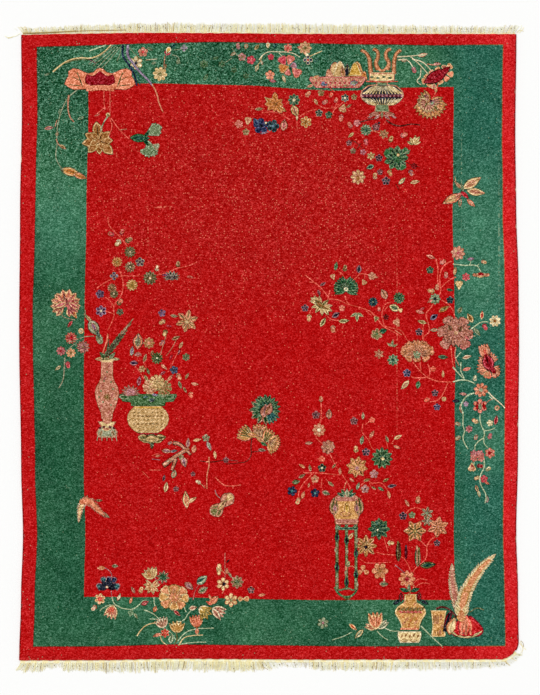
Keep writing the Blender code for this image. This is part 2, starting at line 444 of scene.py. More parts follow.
def pile_material():
    """Red field, green band and red guards, worn and mottled, with painted shade in small pits of the pile.
    """
    recipe = Recipe("worn_red_and_green_pile")
    weave = recipe.node("ShaderNodeUVMap", uv_map="Weave").outputs["UV"]
    split = recipe.node("ShaderNodeSeparateXYZ")
    recipe.feed(split.inputs["Vector"], weave)
    from_left = recipe.maths("MULTIPLY", split.outputs["X"], PILE_WIDTH)
    from_right = recipe.maths("SUBTRACT", PILE_WIDTH, from_left)
    from_bottom = recipe.maths("MULTIPLY", split.outputs["Y"], PILE_LENGTH)
    from_top = recipe.maths("SUBTRACT", PILE_LENGTH, from_bottom)
    edges = (from_left, from_right, from_bottom, from_top)

    place = recipe.place()
    wander = recipe.maths("MULTIPLY", recipe.noise(place, 0.3), 0.8 * MM)
    knots = recipe.maths("MULTIPLY", recipe.tufts(place, 5 * MM), 0.7 * MM)
    wobble = recipe.maths("ADD", wander, knots)
    shares = (split.outputs["Y"], split.outputs["Y"], split.outputs["X"], split.outputs["X"])
    guard = [recipe.along(share, widths) for share, widths in zip(shares, GUARD_WIDTHS)]
    border = [recipe.along(share, widths) for share, widths in zip(shares, BORDER_WIDTHS)]
    in_band = recipe.maths("ADD", inset_from_edges(recipe, edges, guard), wobble)
    in_field = recipe.maths("ADD", inset_from_edges(recipe, edges, border), wobble)

    worn = recipe.maths("ADD", patch(recipe, 200, 190, 1.15, 1.1), patch(recipe, 330, 200, 0.9, 0.9))
    worn = recipe.maths("ADD", worn, recipe.maths("MULTIPLY", recipe.noise(place, 0.28, 2.0), 0.16))
    worn = recipe.maths("MINIMUM", recipe.maths("MAXIMUM", worn, 0.0), 1.2)

    field = recipe.mixed(worn, FIELD_RED, WORN_RED)
    abrash = recipe.ramp(recipe.noise(place, 0.5, 2.0), -1.6, 1.6)
    green = recipe.mixed(abrash, BAND_GREEN_DEEP, BAND_GREEN)
    for across, down, wide, high in SHADED_PATCHES:
        shaded = recipe.maths("MULTIPLY", patch(recipe, across, down, wide, high), 0.7)
        green = recipe.mixed(shaded, green, BAND_GREEN_DEEP)
    green = recipe.mixed(recipe.ramp(from_right, 0.5, 0.2), green, BAND_GREEN_TEAL)
    for across, down, wide, high in LIGHT_PATCHES:
        lit = recipe.maths("MULTIPLY", patch(recipe, across, down, wide, high), 0.8)
        green = recipe.mixed(lit, green, BAND_LIGHT)
    guard_red = recipe.mixed(recipe.ramp(from_right, 0.4, 0.05), GUARD_RED, GUARD_RIGHT)
    banded = recipe.mixed(recipe.ramp(in_band, -0.6 * MM, 0.6 * MM), guard_red, green)
    line = recipe.mixed(recipe.ramp(from_right, 0.3, 0.1), LINE_DARK, LINE_PALE)
    on_line = recipe.ramp(recipe.maths("ABSOLUTE", in_band), 3.0 * MM, 1.2 * MM)
    banded = recipe.mixed(recipe.maths("MULTIPLY", on_line, 0.8), banded, line)
    dyed = recipe.mixed(recipe.ramp(in_field, -0.6 * MM, 0.6 * MM), banded, field)

    # The green band is more uneven than the red, most of all at the upper left
    inside = recipe.ramp(in_field, -1 * MM, 1 * MM)
    on_green = recipe.maths("SUBTRACT", recipe.ramp(in_band, -1 * MM, 1 * MM), inside)
    uneven = recipe.maths("MULTIPLY", recipe.ramp(from_top, 1.1, 0.4), recipe.ramp(from_right, 0.2, 1.2))
    uneven = recipe.maths("MULTIPLY", on_green, uneven)
    depth = recipe.maths("MULTIPLY_ADD", on_green, 0.045, 0.035)
    cloud = recipe.maths("MULTIPLY_ADD", recipe.noise(place, 0.11, 3.0), depth, 1.0)
    strength = recipe.maths("MULTIPLY_ADD", worn, 0.006, 0.058)
    strength = recipe.maths("MULTIPLY_ADD", on_green, 0.006, strength)
    strength = recipe.maths("MULTIPLY_ADD", uneven, 0.045, strength)
    colour, spread = grained(recipe, recipe.scaled(dyed, cloud), strength)
    tip = recipe.mixed(inside, TIP_ON_GREEN, TIP_ON_RED)
    broken = recipe.ramp(recipe.noise(place, 0.012), -0.2, 0.7)
    for across, down, wide, high in STREAKS:
        streak = recipe.maths("MULTIPLY", patch(recipe, across, down, wide, high), broken)
        colour = recipe.mixed(streak, colour, tip)
    bare = recipe.maths("MULTIPLY_ADD", recipe.maths("MULTIPLY", worn, inside), 0.24, 0.03)
    bare = recipe.maths("MULTIPLY_ADD", uneven, 0.12, bare)
    tips = recipe.flecks(place, 10.5 * MM, bare, 5.6 * MM)
    colour = recipe.mixed(tips, colour, tip)
    # Painted shade in small sunk pits of the pile, more of them where the green band is uneven
    shaded_pit_share = recipe.maths("MULTIPLY_ADD", uneven, 0.12, 0.10)
    pit_shadows = recipe.flecks(place, 12 * MM, shaded_pit_share, 5 * MM)
    pit_shade = recipe.mixed(on_green, PIT_SHADE, PIT_SHADE_ON_GREEN)
    colour = recipe.mixed(recipe.maths("MULTIPLY", pit_shadows, 0.5), colour, pit_shade)
    return finish_wool(recipe, colour, spread)


pile_wool = pile_material()
print("the pile's wool has", len(pile_wool.node_tree.nodes), "nodes")

# %% [markdown]
# ## The pile sheet
# The cloth is one thick sheet. A grid primitive is laid over the outline: each of its points knows
# its share of the width and the length, so `on_cloth` and `worn_round` carry it to its place. A
# Solidify modifier gives it its thickness, and the rim is then brushed down, as cut pile leans
# outwards where nothing holds it up. Two slow waves under a millimetre high keep it from looking
# machined.

# %% Shape of the pile
CELLS_ACROSS, CELLS_ALONG = 136, 170
BACK_HEIGHT = 0.5 * MM
PILE_HEIGHT = 11 * MM
RIM_DROP = 2.6 * MM
SWELL = 0.35 * MM


def pile_top(x, y):
    """The height of the pile's face above the floor."""
    long_wave = math.sin(2.1 * x + 0.7) * math.sin(1.6 * y - 0.4)
    short_wave = math.sin(5.3 * x - 1.1 + 0.8 * y) * math.sin(4.1 * y + 0.3)
    return PILE_HEIGHT + SWELL * (long_wave + 0.5 * short_wave)


def ragged(place, away):
    """The small uneven step of a cut pile's edge, in metres, at this place along it."""
    run = place.x * away.y + place.y * away.x
    return (0.9 * math.sin(97 * run + 1.3) + 0.7 * math.sin(231 * run) + 0.5 * math.sin(53 * run)) * MM


bpy.ops.mesh.primitive_grid_add(x_subdivisions=CELLS_ACROSS, y_subdivisions=CELLS_ALONG, size=1)
pile = bpy.context.object
pile.name = "pile"
pile.data.uv_layers.active.name = "Weave"

for vertex in pile.data.vertices:
    across, along = vertex.co.x + 0.5, vertex.co.y + 0.5
    square = on_cloth(across, along)
    place = worn_round(square)
    if across in (0.0, 1.0):
        place.x += ragged(place, Vector((1, 0, 0)))
    if along in (0.0, 1.0):
        place.y += ragged(place, Vector((0, 1, 0)))
    on_rim = across in (0.0, 1.0) or along in (0.0, 1.0)
    place.z = pile_top(place.x, place.y) - (RIM_DROP if on_rim else 0)
    vertex.co = place

for loop in pile.data.loops:
    place = pile.data.vertices[loop.vertex_index].co
    weave = pile.data.uv_layers["Weave"].uv[loop.index].vector
    square = on_cloth(weave.x, weave.y)
    weave.x += (place.x - square.x) / PILE_WIDTH
    weave.y += (place.y - square.y) / PILE_LENGTH
print("pile grid of", len(pile.data.polygons), "cells")

# %% [markdown]
# The outermost row of cells is 20 mm wide, which would make the brushed rim a broad ramp. So the
# second row of points is pulled out to 4 mm from the edge before the sheet gets its thickness.

# %% Rim and thickness
RIM_WIDTH = 4.5 * MM
row = CELLS_ACROSS + 1


def pull_to_rim(edge_index, next_index):
    """Moves the second point in from an edge to the foot of the brushed rim."""
    edge, second = pile.data.vertices[edge_index], pile.data.vertices[next_index]
    run = Vector((second.co.x - edge.co.x, second.co.y - edge.co.y, 0))
    spot = Vector((edge.co.x, edge.co.y, 0)) + run.normalized() * RIM_WIDTH
    second.co = Vector((spot.x, spot.y, pile_top(spot.x, spot.y)))


for i in range(1, CELLS_ALONG):
    pull_to_rim(i * row, i * row + 1)
    pull_to_rim(i * row + CELLS_ACROSS, i * row + CELLS_ACROSS - 1)
for i in range(1, CELLS_ACROSS):
    pull_to_rim(i, i + row)
    pull_to_rim(i + CELLS_ALONG * row, i + (CELLS_ALONG - 1) * row)

bpy.ops.object.modifier_add(type="SOLIDIFY")
pile.modifiers["Solidify"].thickness = PILE_HEIGHT - BACK_HEIGHT
pile.modifiers["Solidify"].offset = -1
bpy.ops.object.modifier_apply(modifier="Solidify")
for vertex in pile.data.vertices:
    if vertex.co.z < PILE_HEIGHT / 2:
        vertex.co.z = BACK_HEIGHT
bpy.ops.object.shade_smooth_by_angle(angle=math.radians(40))
pile.data.materials.append(pile_wool)
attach(pile, "root")
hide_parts("knotted_cloth")
print("pile sheet of", len(pile.data.polygons), "faces")

# %% [markdown]
# ## Dyed yarns
# The weavers had about two dozen dyed yarns for the flowers. Each is named once here, as it shows
# in the photograph, and every motif picks its rim, body and heart from this box. The yarn's colour
# is stored on the mesh, in an attribute, so one material serves all the motifs.

# %% Yarn box
YARN = {
    "cream": dye(226, 196, 138),
    "pale": dye(232, 216, 176),
    "tan": dye(198, 134, 102),
    "sand": dye(206, 168, 112),
    "gold": dye(206, 160, 70),
    "ochre": dye(150, 120, 50),
    "salmon": dye(226, 134, 98),
    "coral": dye(240, 98, 78),
    "orange": dye(224, 112, 66),
    "blush": dye(190, 124, 98),
    "amber": dye(194, 116, 52),
    "brown": dye(156, 100, 48),
    "umber": dye(92, 34, 24),
    "dusk": dye(182, 112, 94),
    "peach": dye(212, 138, 94),
    "wheat": dye(206, 150, 84),
    "ash": dye(188, 202, 160),
    "pink": dye(208, 112, 104),
    "rose": dye(196, 60, 72),
    "mauve": dye(168, 112, 116),
    "lilac": dye(150, 130, 152),
    "wine": dye(146, 8, 22),
    "mist": dye(150, 158, 124),
    "sage": dye(112, 130, 92),
    "olive": dye(112, 104, 56),
    "leaf": dye(54, 106, 62),
    "bottle": dye(18, 66, 48),
    "teal": dye(48, 100, 98),
    "sky": dye(90, 112, 130),
    "blue": dye(52, 66, 104),
    "navy": dye(24, 34, 66),
    "ink": dye(24, 28, 40),
    "red": dye(190, 20, 22),
}


def yarn_material():
    """Wool dyed as the attribute says, with the pile's own grain."""
    recipe = Recipe("dyed_motif_yarn")
    dyed = recipe.node("ShaderNodeAttribute", attribute_name="Yarn").outputs["Color"]
    colour, spread = grained(recipe, dyed, YARN_GRAIN)
    return finish_wool(recipe, colour, spread)


YARN_GRAIN = 0.10
yarn_wool = yarn_material()
print(len(YARN), "yarns in the box")

# %% [markdown]
# ## One petal
# Nearly every flower here is made of one form: a petal with a thin dark line, a light rim and a
# darker body. It starts as a filled circle. Its points are squeezed towards its long axis, by a
# sine that is 0 at the root and the tip, or moved to an outline of their own. An Extrude makes it
# a closed solid whose foot stands in the pile. Two Insets of its face then make the line and the
# rim, and lift the body a little, as carved pile stands. A face attribute called tone remembers
# which faces are rim (0) and body (1), with 2 and 3 for the same faces of a heart and 10 more for
# the dark line round each, so each copy can be dyed its own way.

# %% Petals and leaves
RELIEF = 0.25 * MM
FOOT = 0.9 * MM
PETAL_POINTS = 14
HEART, LINE = 2, 10
LINE_WIDTH = 0.035


def set_tones(made, tone_of):
    """Writes each face's tone, worked out from its centre."""
    tones = [tone_of(face.center) for face in made.data.polygons]
    layer = made.data.attributes.get("tone") or made.data.attributes.new("tone", "INT", "FACE")
    layer.data.foreach_set("value", tones)


def face_outwards():
    """Turns all faces of the active object outwards."""
    bpy.ops.object.mode_set(mode="EDIT")
    bpy.ops.mesh.select_all(action="SELECT")
    bpy.ops.mesh.normals_make_consistent(inside=False)
    bpy.ops.object.mode_set(mode="OBJECT")


def raise_and_inset(made, rim, line=LINE_WIDTH):
    """Makes a flat outline a closed solid: a thin line, a sloping rim and a raised body."""
    bpy.context.view_layer.objects.active = made
    bpy.ops.object.mode_set(mode="EDIT")
    bpy.ops.mesh.select_all(action="SELECT")
    bpy.ops.mesh.extrude_region_move(TRANSFORM_OT_translate={"value": (0, 0, FOOT)})
    bpy.ops.mesh.inset(thickness=line, depth=0, use_even_offset=False)
    bpy.ops.mesh.inset(thickness=rim, depth=RELIEF, use_even_offset=False)
    bpy.ops.object.mode_set(mode="OBJECT")
    face_outwards()
    for vertex in made.data.vertices:
        vertex.co.z -= FOOT


def plain_tone(centre):
    """Body, rim or dark line, told by the height of the face."""
    if centre.z > 0.9 * RELIEF:
        return 1
    return 0 if centre.z > 0.1 * RELIEF else LINE


def petal(name, width, fullness, sharpness, rim):
    """A petal of length 1 with its root at the origin, pointing up the picture."""
    bpy.ops.mesh.primitive_circle_add(vertices=PETAL_POINTS, radius=0.5, fill_type="NGON")
    made = bpy.context.object
    made.name = name
    for vertex in made.data.vertices:
        share = vertex.co.y + 0.5
        half = width / 2 * abs(math.sin(math.pi * share**fullness)) ** sharpness
        vertex.co.x = math.copysign(half, vertex.co.x)
        vertex.co.y = share
    raise_and_inset(made, rim)
    set_tones(made, plain_tone)
    return made


def ruffled(name, half_outline, rim, line=0.03):
    """A petal or leaf of length 1, from its half outline: (half width, height), root to tip."""
    bpy.ops.mesh.primitive_circle_add(vertices=2 * len(half_outline) - 2, radius=0.5, fill_type="NGON")
    made = bpy.context.object
    made.name = name
    other_half = [(-half, height) for half, height in half_outline[-2:0:-1]]
    for vertex, (half, height) in zip(made.data.vertices, [*half_outline, *other_half]):
        vertex.co = (half, height, 0)
    raise_and_inset(made, rim, line)
    set_tones(made, plain_tone)
    return made


def disc(name, points, rim):
    """A disc 1 across with a light rim."""
    bpy.ops.mesh.primitive_circle_add(vertices=points, radius=0.5, fill_type="NGON")
    made = bpy.context.object
    made.name = name
    raise_and_inset(made, rim)
    set_tones(made, plain_tone)
    return made


RUFFLED_PETAL = (
    (0, 0), (0.11, 0.10), (0.25, 0.34), (0.36, 0.54), (0.45, 0.69), (0.37, 0.77), (0.37, 0.90),
    (0.24, 0.88), (0.16, 0.99), (0.07, 0.90), (0, 0.95),
)
TOOTHED_LEAF = (
    (0, 0), (0.15, 0.06), (0.24, 0.22), (0.20, 0.30), (0.30, 0.44), (0.22, 0.52), (0.24, 0.68),
    (0.13, 0.74), (0.10, 0.88), (0, 1.0),
)
MOTIF = {
    "ruffled_petal": ruffled("ruffled_petal", RUFFLED_PETAL, 0.06),
    "toothed_leaf": ruffled("toothed_leaf", TOOTHED_LEAF, 0.05),
    "keen_petal": petal("keen_petal", 0.60, 1.25, 0.95, 0.065),
    "round_petal": petal("round_petal", 0.72, 1.55, 0.55, 0.11),
    "broad_petal": petal("broad_petal", 1.05, 1.7, 0.5, 0.10),
    "pointed_petal": petal("pointed_petal", 0.46, 1.15, 0.95, 0.075),
    "leaf_blade": petal("leaf_blade", 0.44, 0.85, 0.9, 0.06),
    "slim_blade": petal("slim_blade", 0.24, 0.8, 0.8, 0.045),
    "dot": disc("dot", 10, 0.12),
    "button": disc("button", 12, 0.2),
}
print("first forms:", ", ".join(MOTIF))

# %% [markdown]
# ## Flowers from copies of a petal
# What repeats is made once and copied. `laid` puts a copy of a form somewhere, turned clockwise and
# scaled, with its own mesh, and `joined` makes one object of several. A rosette is a ring of petals
# round a heart. Where forms overlap, each later one lies a layer higher, and every motif also gets
# a shim much thinner than a layer, so no two faces fight for the same height.

# %% Copying and joining
LAYER = 0.2 * MM
SHIM = 0.012 * MM
SHIMS = 9
PETAL_STEP = 0.12


def laid(form, at, size, turn=0.0, layer=0.0, stretch=1.0, tone_shift=0):
    """A copy of a form at a place, turned clockwise by degrees, with its own mesh."""
    copy = form.copy()
    copy.data = form.data.copy()
    turned = Matrix.Rotation(math.radians(-turn), 4, "Z")
    sized = Matrix.Diagonal((size * stretch, size, 1, 1))
    lifted = Matrix.Translation(Vector((at[0], at[1], layer * LAYER)))
    copy.data.transform(lifted @ turned @ sized)
    if tone_shift:
        for tone in copy.data.attributes["tone"].data:
            tone.value += tone_shift
    scene.collection.objects.link(copy)
    return copy


def joined(name, pieces):
    """One object made of all the pieces."""
    with bpy.context.temp_override(
        active_object=pieces[0], object=pieces[0], selected_editable_objects=pieces, selected_objects=pieces
    ):
        bpy.ops.object.join()
    pieces[0].name = name
    return pieces[0]


def ring(form, count, size, layer, start=0.0, reach=0.0, stretch=1.0):
    """Copies of a petal standing round the origin, their roots at reach from it."""
    copies = []
    for i in range(count):
        turn = start + 360 * i / count
        root = Matrix.Rotation(math.radians(-turn), 2) @ Vector((0, reach))
        copies.append(laid(form, root, size, turn, layer + PETAL_STEP * (i % 3), stretch))
    return copies


def rosette(name, form, count, heart, stretch=1.0, root=0.04):
    """A flower 1 across: a ring of petals and a heart."""
    petals = ring(MOTIF[form], count, 0.5 - root, 0, reach=root, stretch=stretch)
    middle = laid(MOTIF["button"], (0, 0), heart, layer=0.5, tone_shift=HEART)
    return joined(name, petals + [middle])


MOTIF["four"] = rosette("four", "broad_petal", 4, 0.26, 0.95)
MOTIF["five"] = rosette("five", "broad_petal", 5, 0.26, 0.85)
MOTIF["six"] = rosette("six", "round_petal", 6, 0.26)
MOTIF["eight"] = rosette("eight", "round_petal", 8, 0.3, 0.85, 0.06)
MOTIF["star_six"] = rosette("star_six", "pointed_petal", 6, 0.16, 1.25)
MOTIF["star_eight"] = rosette("star_eight", "pointed_petal", 8, 0.18, 1.1)


def aster(name, outer, inner):
    """A full flower of pointed petals in two rings round a heart."""
    petals = ring(MOTIF["pointed_petal"], outer, 0.42, 0, reach=0.08, stretch=1.15)
    petals += ring(MOTIF["pointed_petal"], inner, 0.28, 0.6, start=13, reach=0.05, stretch=1.3)
    middle = laid(MOTIF["button"], (0, 0), 0.24, layer=1.2, tone_shift=HEART)
    return joined(name, petals + [middle])


MOTIF["aster"] = aster("aster", 11, 8)
print("rosettes:", [len(MOTIF[name].data.polygons) for name in ("five", "six", "eight", "aster")], "faces")

# %% [markdown]
# A peony has three rings of petals, the outer ones ruffled. Seen from the side it is a fan of them.
# Leaves come plain and in threes. A bud is one petal held by two sepals.

# %% Peonies, leaves and buds
def peony(name):
    """A full flower 1 across of three rings of petals."""
    outer = ring(MOTIF["ruffled_petal"], 9, 0.31, 0, reach=0.19, stretch=0.9)
    middle = ring(MOTIF["ruffled_petal"], 7, 0.25, 0.7, start=22, reach=0.08, stretch=0.9)
    inner = ring(MOTIF["round_petal"], 5, 0.14, 1.4, start=10, reach=0.01)
    heart = laid(MOTIF["button"], (0, 0), 0.10, layer=2.0, tone_shift=HEART)
    return joined(name, outer + middle + inner + [heart])


def side_peony(name, form, wide):
    """A full flower seen from the side: petals fan up and out over a small pale heart."""
    root = (0, -0.16)
    made = [laid(MOTIF[form], root, 0.24, turn, 0, 0.9) for turn in (180, 152, -152)]
    for i, turn in enumerate((-112, 112, -88, 88, -62, 62, -38, 38, -14, 14)):
        length = 0.52 + 0.12 * math.cos(math.radians(turn)) + 0.03 * (-1) ** i
        made.append(laid(MOTIF[form], root, length, turn, PETAL_STEP * (i % 4), 0.62))
    for i, turn in enumerate((-78, 78, -46, 46, -16, 16)):
        made.append(laid(MOTIF[form], root, 0.34, turn, 0.7 + PETAL_STEP * (i % 3), 0.7))
    made.append(laid(MOTIF["button"], (0, -0.14), 0.13, layer=1.4, tone_shift=HEART))
    made = joined(name, made)
    made.data.transform(Matrix.Diagonal((wide, 1, 1, 1)))
    return made


def keen_rose(name, outer, inner):
    """A full flower 1 across of broad pointed petals, as a lotus opens."""
    petals = ring(MOTIF["keen_petal"], outer, 0.40, 0, reach=0.1, stretch=1.05)
    petals += ring(MOTIF["keen_petal"], inner, 0.28, 0.6, start=24, reach=0.05, stretch=1.1)
    petals += ring(MOTIF["keen_petal"], 3, 0.16, 1.2, start=50, reach=0.0, stretch=1.2)
    middle = laid(MOTIF["button"], (0, 0), 0.08, layer=1.8, tone_shift=HEART)
    return joined(name, petals + [middle])


def leaf(name, form, stretch=1.0):
    """A leaf of length 1 about its middle, with a midrib in the heart's tone."""
    blade = laid(MOTIF[form], (0, -0.5), 1.0, stretch=stretch)
    midrib = laid(MOTIF["slim_blade"], (0, -0.42), 0.8, layer=0.3, stretch=0.4, tone_shift=HEART)
    return joined(name, [blade, midrib])


def vine_leaf(name, points):
    """A leaf of pointed lobes: (turn, length) for each lobe, about the leaf's stalk end."""
    lobes = []
    for i, (turn, length) in enumerate(points):
        lobes.append(laid(MOTIF["toothed_leaf"], (0, -0.15), length, turn, 0.1 * i, 0.82))
        lobes.append(laid(MOTIF["slim_blade"], (0, -0.15), length * 0.8, turn, 0.1 * i + 0.4, 0.3, HEART))
    return joined(name, lobes)


def bud(name):
    """A closed flower of length 1: two sepals at its foot and one petal."""
    sepals = [laid(MOTIF["pointed_petal"], (0, -0.5), 0.55, turn, 0, 1.0, HEART) for turn in (-38, 38)]
    body = laid(MOTIF["round_petal"], (0, -0.38), 0.88, layer=0.5, stretch=0.95)
    return joined(name, sepals + [body])


MOTIF["side_peony"] = side_peony("side_peony", "ruffled_petal", 1.0)
MOTIF["side_aster"] = side_peony("side_aster", "pointed_petal", 1.35)
MOTIF["keen_rose"] = keen_rose("keen_rose", 9, 6)
MOTIF["peony"] = peony("peony")
MOTIF["leaf"] = leaf("leaf", "leaf_blade")
MOTIF["broad_leaf"] = leaf("broad_leaf", "leaf_blade", 1.45)
MOTIF["slim_leaf"] = leaf("slim_leaf", "slim_blade")
MOTIF["bud"] = bud("bud")
THREE_LOBES = ((0, 0.72), (-62, 0.60), (62, 0.60))
MOTIF["three_leaf"] = vine_leaf("three_leaf", THREE_LOBES)
print("the motif box holds", len(MOTIF), "forms")

# %% [markdown]
# ## Jars and stands
# A jar is drawn as its own outline, at its full size: rows of given height and half width, from
# the foot up. It starts as a plane for the lowest band, and each further band is its top edge,
# extruded and resized. The Extrude and Inset that a petal gets then leave the light rim line that
# the weavers put round everything. The bands keep their own tones.

# %% Outlines with bands
def jar(name, rows, rim):
    """rows: (height in mm, half width in mm, tone of the band above) from the foot up."""
    bpy.ops.mesh.primitive_plane_add(size=1)
    made = bpy.context.object
    made.name = name
    (low, low_half, _), (high, high_half, _) = rows[0], rows[1]
    for vertex in made.data.vertices:
        height, half = (high, high_half) if vertex.co.y > 0 else (low, low_half)
        vertex.co = Vector((math.copysign(half * MM, vertex.co.x), height * MM, 0))
    bpy.ops.object.mode_set(mode="EDIT")
    bpy.ops.mesh.select_mode(type="VERT")
    for (high, high_half, _), (next_high, next_half, _) in zip(rows[1:], rows[2:]):
        bpy.ops.mesh.select_all(action="DESELECT")
        bpy.ops.object.mode_set(mode="OBJECT")
        for vertex in made.data.vertices:
            vertex.select = abs(vertex.co.y - high * MM) < 1e-6
        bpy.ops.object.mode_set(mode="EDIT")
        rise = {"value": (0, (next_high - high) * MM, 0)}
        bpy.ops.mesh.extrude_edges_move(TRANSFORM_OT_translate=rise)
        widen = (next_half / high_half, 1, 1)
        bpy.ops.transform.resize(value=widen, center_override=(0, next_high * MM, 0))
    bpy.ops.object.mode_set(mode="OBJECT")
    raise_and_inset(made, rim * MM, 2 * MM)

    def tone_of(centre):
        if centre.z < 0.9 * RELIEF:
            return plain_tone(centre)
        below = [tone for height, _, tone in rows if height * MM <= centre.y + rim * MM * 0.5]
        return below[-1]

    set_tones(made, tone_of)
    return made


print("jars are drawn from rows of height, half width and tone")

# %% [markdown]
# ## Stems
# A stem is a single line of knots. Each is a Bezier curve through a few points with a thin bevel
# that tapers to its tip, turned to a mesh and pressed flat, so that it stands as little above the
# pile as a line of knots does.

# %% Stems
STEM_FLATNESS = 0.1
STEM_MOST = 0.5 * MM
LINE_DEPTH = 0.12


def mesh_of_lines(name, kind, lines):
    """One mesh of many thin round lines; each is a list of (place, radius)."""
    curve = bpy.data.curves.new(name, "CURVE")
    curve.dimensions = "3D"
    curve.resolution_u = 3
    curve.bevel_depth = 1.0
    curve.bevel_resolution = 0
    curve.use_fill_caps = True
    for line in lines:
        spline = curve.splines.new(kind)
        knots = spline.bezier_points if kind == "BEZIER" else spline.points
        knots.add(len(line) - 1)
        for knot, (place, radius) in zip(knots, line):
            knot.co = place if kind == "BEZIER" else place.to_4d()
            knot.radius = radius
            if kind == "BEZIER":
                knot.handle_left_type = knot.handle_right_type = "AUTO"
    drawn = bpy.data.objects.new(name, curve)
    scene.collection.objects.link(drawn)
    graph = bpy.context.evaluated_depsgraph_get()
    made = bpy.data.objects.new(name, bpy.data.meshes.new_from_object(drawn.evaluated_get(graph)))
    bpy.data.objects.remove(drawn)
    scene.collection.objects.link(made)
    return made


def stem_curve(runs):
    """All the stems of one colour: (width in mm, the pixels it runs through)."""
    lines = []
    for width, points in runs:
        tapers = [1.2 - 0.35 * i / (len(points) - 1) for i in range(len(points))]
        lines.append([(from_photo(*point), width * MM / 2 * taper) for point, taper in zip(points, tapers)])
    made = mesh_of_lines("stems", "BEZIER", lines)
    for vertex in made.data.vertices:
        vertex.co.z = min(vertex.co.z * STEM_FLATNESS, STEM_MOST)
    set_tones(made, lambda centre: 0)
    return made


def dress(made, words, worn=0.0):
    """Dyes each tone of a motif with the yarn named for it: rim, body, heart rim and heart.

    Where the rug is worn, some of the ground's red shows through.
    """
    yarns = [[*((1 - worn) * part + worn * red for part, red in zip(YARN[word][:3], WORN_RED)), 1.0]
             for word in words.split()]
    lines = [(*(LINE_DEPTH * part for part in yarn[:3]), 1.0) for yarn in yarns]
    tones = [0] * len(made.data.polygons)
    made.data.attributes["tone"].data.foreach_get("value", tones)
    colours = []
    for face, tone in zip(made.data.polygons, tones):
        box = lines if tone >= LINE else yarns
        colours += box[min(tone % LINE, len(yarns) - 1)] * face.loop_total
    layer = made.data.color_attributes.new("Yarn", "FLOAT_COLOR", "CORNER")
    layer.data.foreach_set("color", colours)


print("stems lie", STEM_FLATNESS * 3, "mm proud at their roots")

# %% [markdown]
# ## Sprays
# A spray is one piece: its stems, and over them its flowers. Both are written as short tables, with
# a row up to each semicolon. A stem row is its yarn, its width in mm and the pixels it runs
# through. A motif row is the form, the pixel it shows at, its size across in mm, the way it points
# in degrees clockwise from the picture's top, and its yarns. A jar is drawn at full size, so its
# size is 1000. A motif that overlaps earlier ones is laid a layer above them, where blades of one
# fan share a layer, and a stem of a later yarn lies over one of an earlier yarn, which may be its
# dark outline. At the end every point is nudged by a noise of a knot's size, because a knotted
# outline is never quite smooth, and the whole spray is draped on the pile's gentle swell. The noise
# has a seed, so every run nudges alike.

# %% Composing a spray
FIRST_LAYER = 0.2 * MM
STEM_LAYER = 0.25 * MM
MOST_LAYERS = 8
KNOT_RUN = 11 * MM
KNOT_STEP = 1.4 * MM
KNOT_SEED = 7
noise.seed_set(KNOT_SEED)


def rows_of(table):
    """The rows of a table, each of which ends with a semicolon."""
    return [row.strip() for row in table.replace("\n", " ").split(";") if row.strip()]


def motifs(table):
    """Each row as (form, pixel, size, turn, yarns)."""
    made = []
    for row in rows_of(table):
        form, across, down, size, turn, *words = row.split()
        made.append((form, (float(across), float(down)), float(size), float(turn), " ".join(words)))
    return made


def stems(table):
    """The stems of each yarn, as (width, pixels)."""
    runs = {}
    for row in rows_of(table):
        head, tail = row.split(":")
        colour, width = head.split()
        points = [tuple(float(part) for part in spot.split()) for spot in tail.split(",")]
        runs.setdefault(colour, []).append((float(width), points))
    return runs


def spray(name, stem_table, motif_table, worn=0.0):
    """Makes one piece of these stems and motifs, lying on the pile."""
    pieces = []
    for i, (colour, runs) in enumerate(stems(stem_table).items()):
        pieces.append(stem_curve(runs))
        pieces[-1].data.transform(Matrix.Translation((0, 0, i * STEM_LAYER)))
        dress(pieces[-1], colour, worn)
    rows = motifs(motif_table) if isinstance(motif_table, str) else motif_table
    lying = []
    for form, spot, size, turn, words, *group in rows:
        copy = laid(MOTIF[form], from_photo(*spot), size * MM, turn)
        points = [vertex.co.xy for vertex in copy.data.vertices]
        middle = sum(points, Vector((0, 0))) / len(points)
        reach = sum((point - middle).length for point in points) / len(points)
        near = [(layer, other_group) for other, other_reach, layer, other_group in lying
                if (other - middle).length < 1.2 * (other_reach + reach)]
        under = [layer for layer, other_group in near if not (group and group == other_group)]
        layer = min(1 + max(under, default=0), MOST_LAYERS)
        lying.append((middle, reach, layer, group))
        lift = FIRST_LAYER + layer * LAYER + (len(lying) % SHIMS) * SHIM
        copy.data.transform(Matrix.Translation((0, 0, lift)))
        dress(copy, words, worn)
        pieces.append(copy)
    made = joined(name, pieces)
    for vertex in made.data.vertices:
        step = noise.noise_vector(vertex.co / KNOT_RUN) * KNOT_STEP
        vertex.co.x += step.x
        vertex.co.y += step.y
        vertex.co.z += pile_top(vertex.co.x, vertex.co.y)
    made.data.attributes.remove(made.data.attributes["tone"])
    made.data.materials.clear()
    made.data.materials.append(yarn_wool)
    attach(made, "root")
    print(name, "has", len(rows), "motifs and", len(made.data.polygons), "faces")
    return made

# %% [markdown]
# ## Fans, feathers and leaves with scalloped edges
# The larger plants and the insects are copies of the same few petals again: a fan spreads them
# from one root, and a feather sets them in pairs along a rib. The open lotus leaf has an outline of
# its own, with veins laid over it and a lip of small petals.

# %% Fans, feathers and the lotus leaf
def fan(name, form, lobes, stretch=1.0, rib=0.0):
    """Petals from one root: (turn, length) for each, with a rib in the heart's tone if asked."""
    made = []
    for i, (turn, length) in enumerate(lobes):
        made.append(laid(MOTIF[form], (0, 0), length, turn, 0.15 * i, stretch))
        if rib:
            made.append(laid(MOTIF["slim_blade"], (0, 0), length * 0.85, turn, 0.15 * i + 0.5, rib, HEART))
    return joined(name, made)


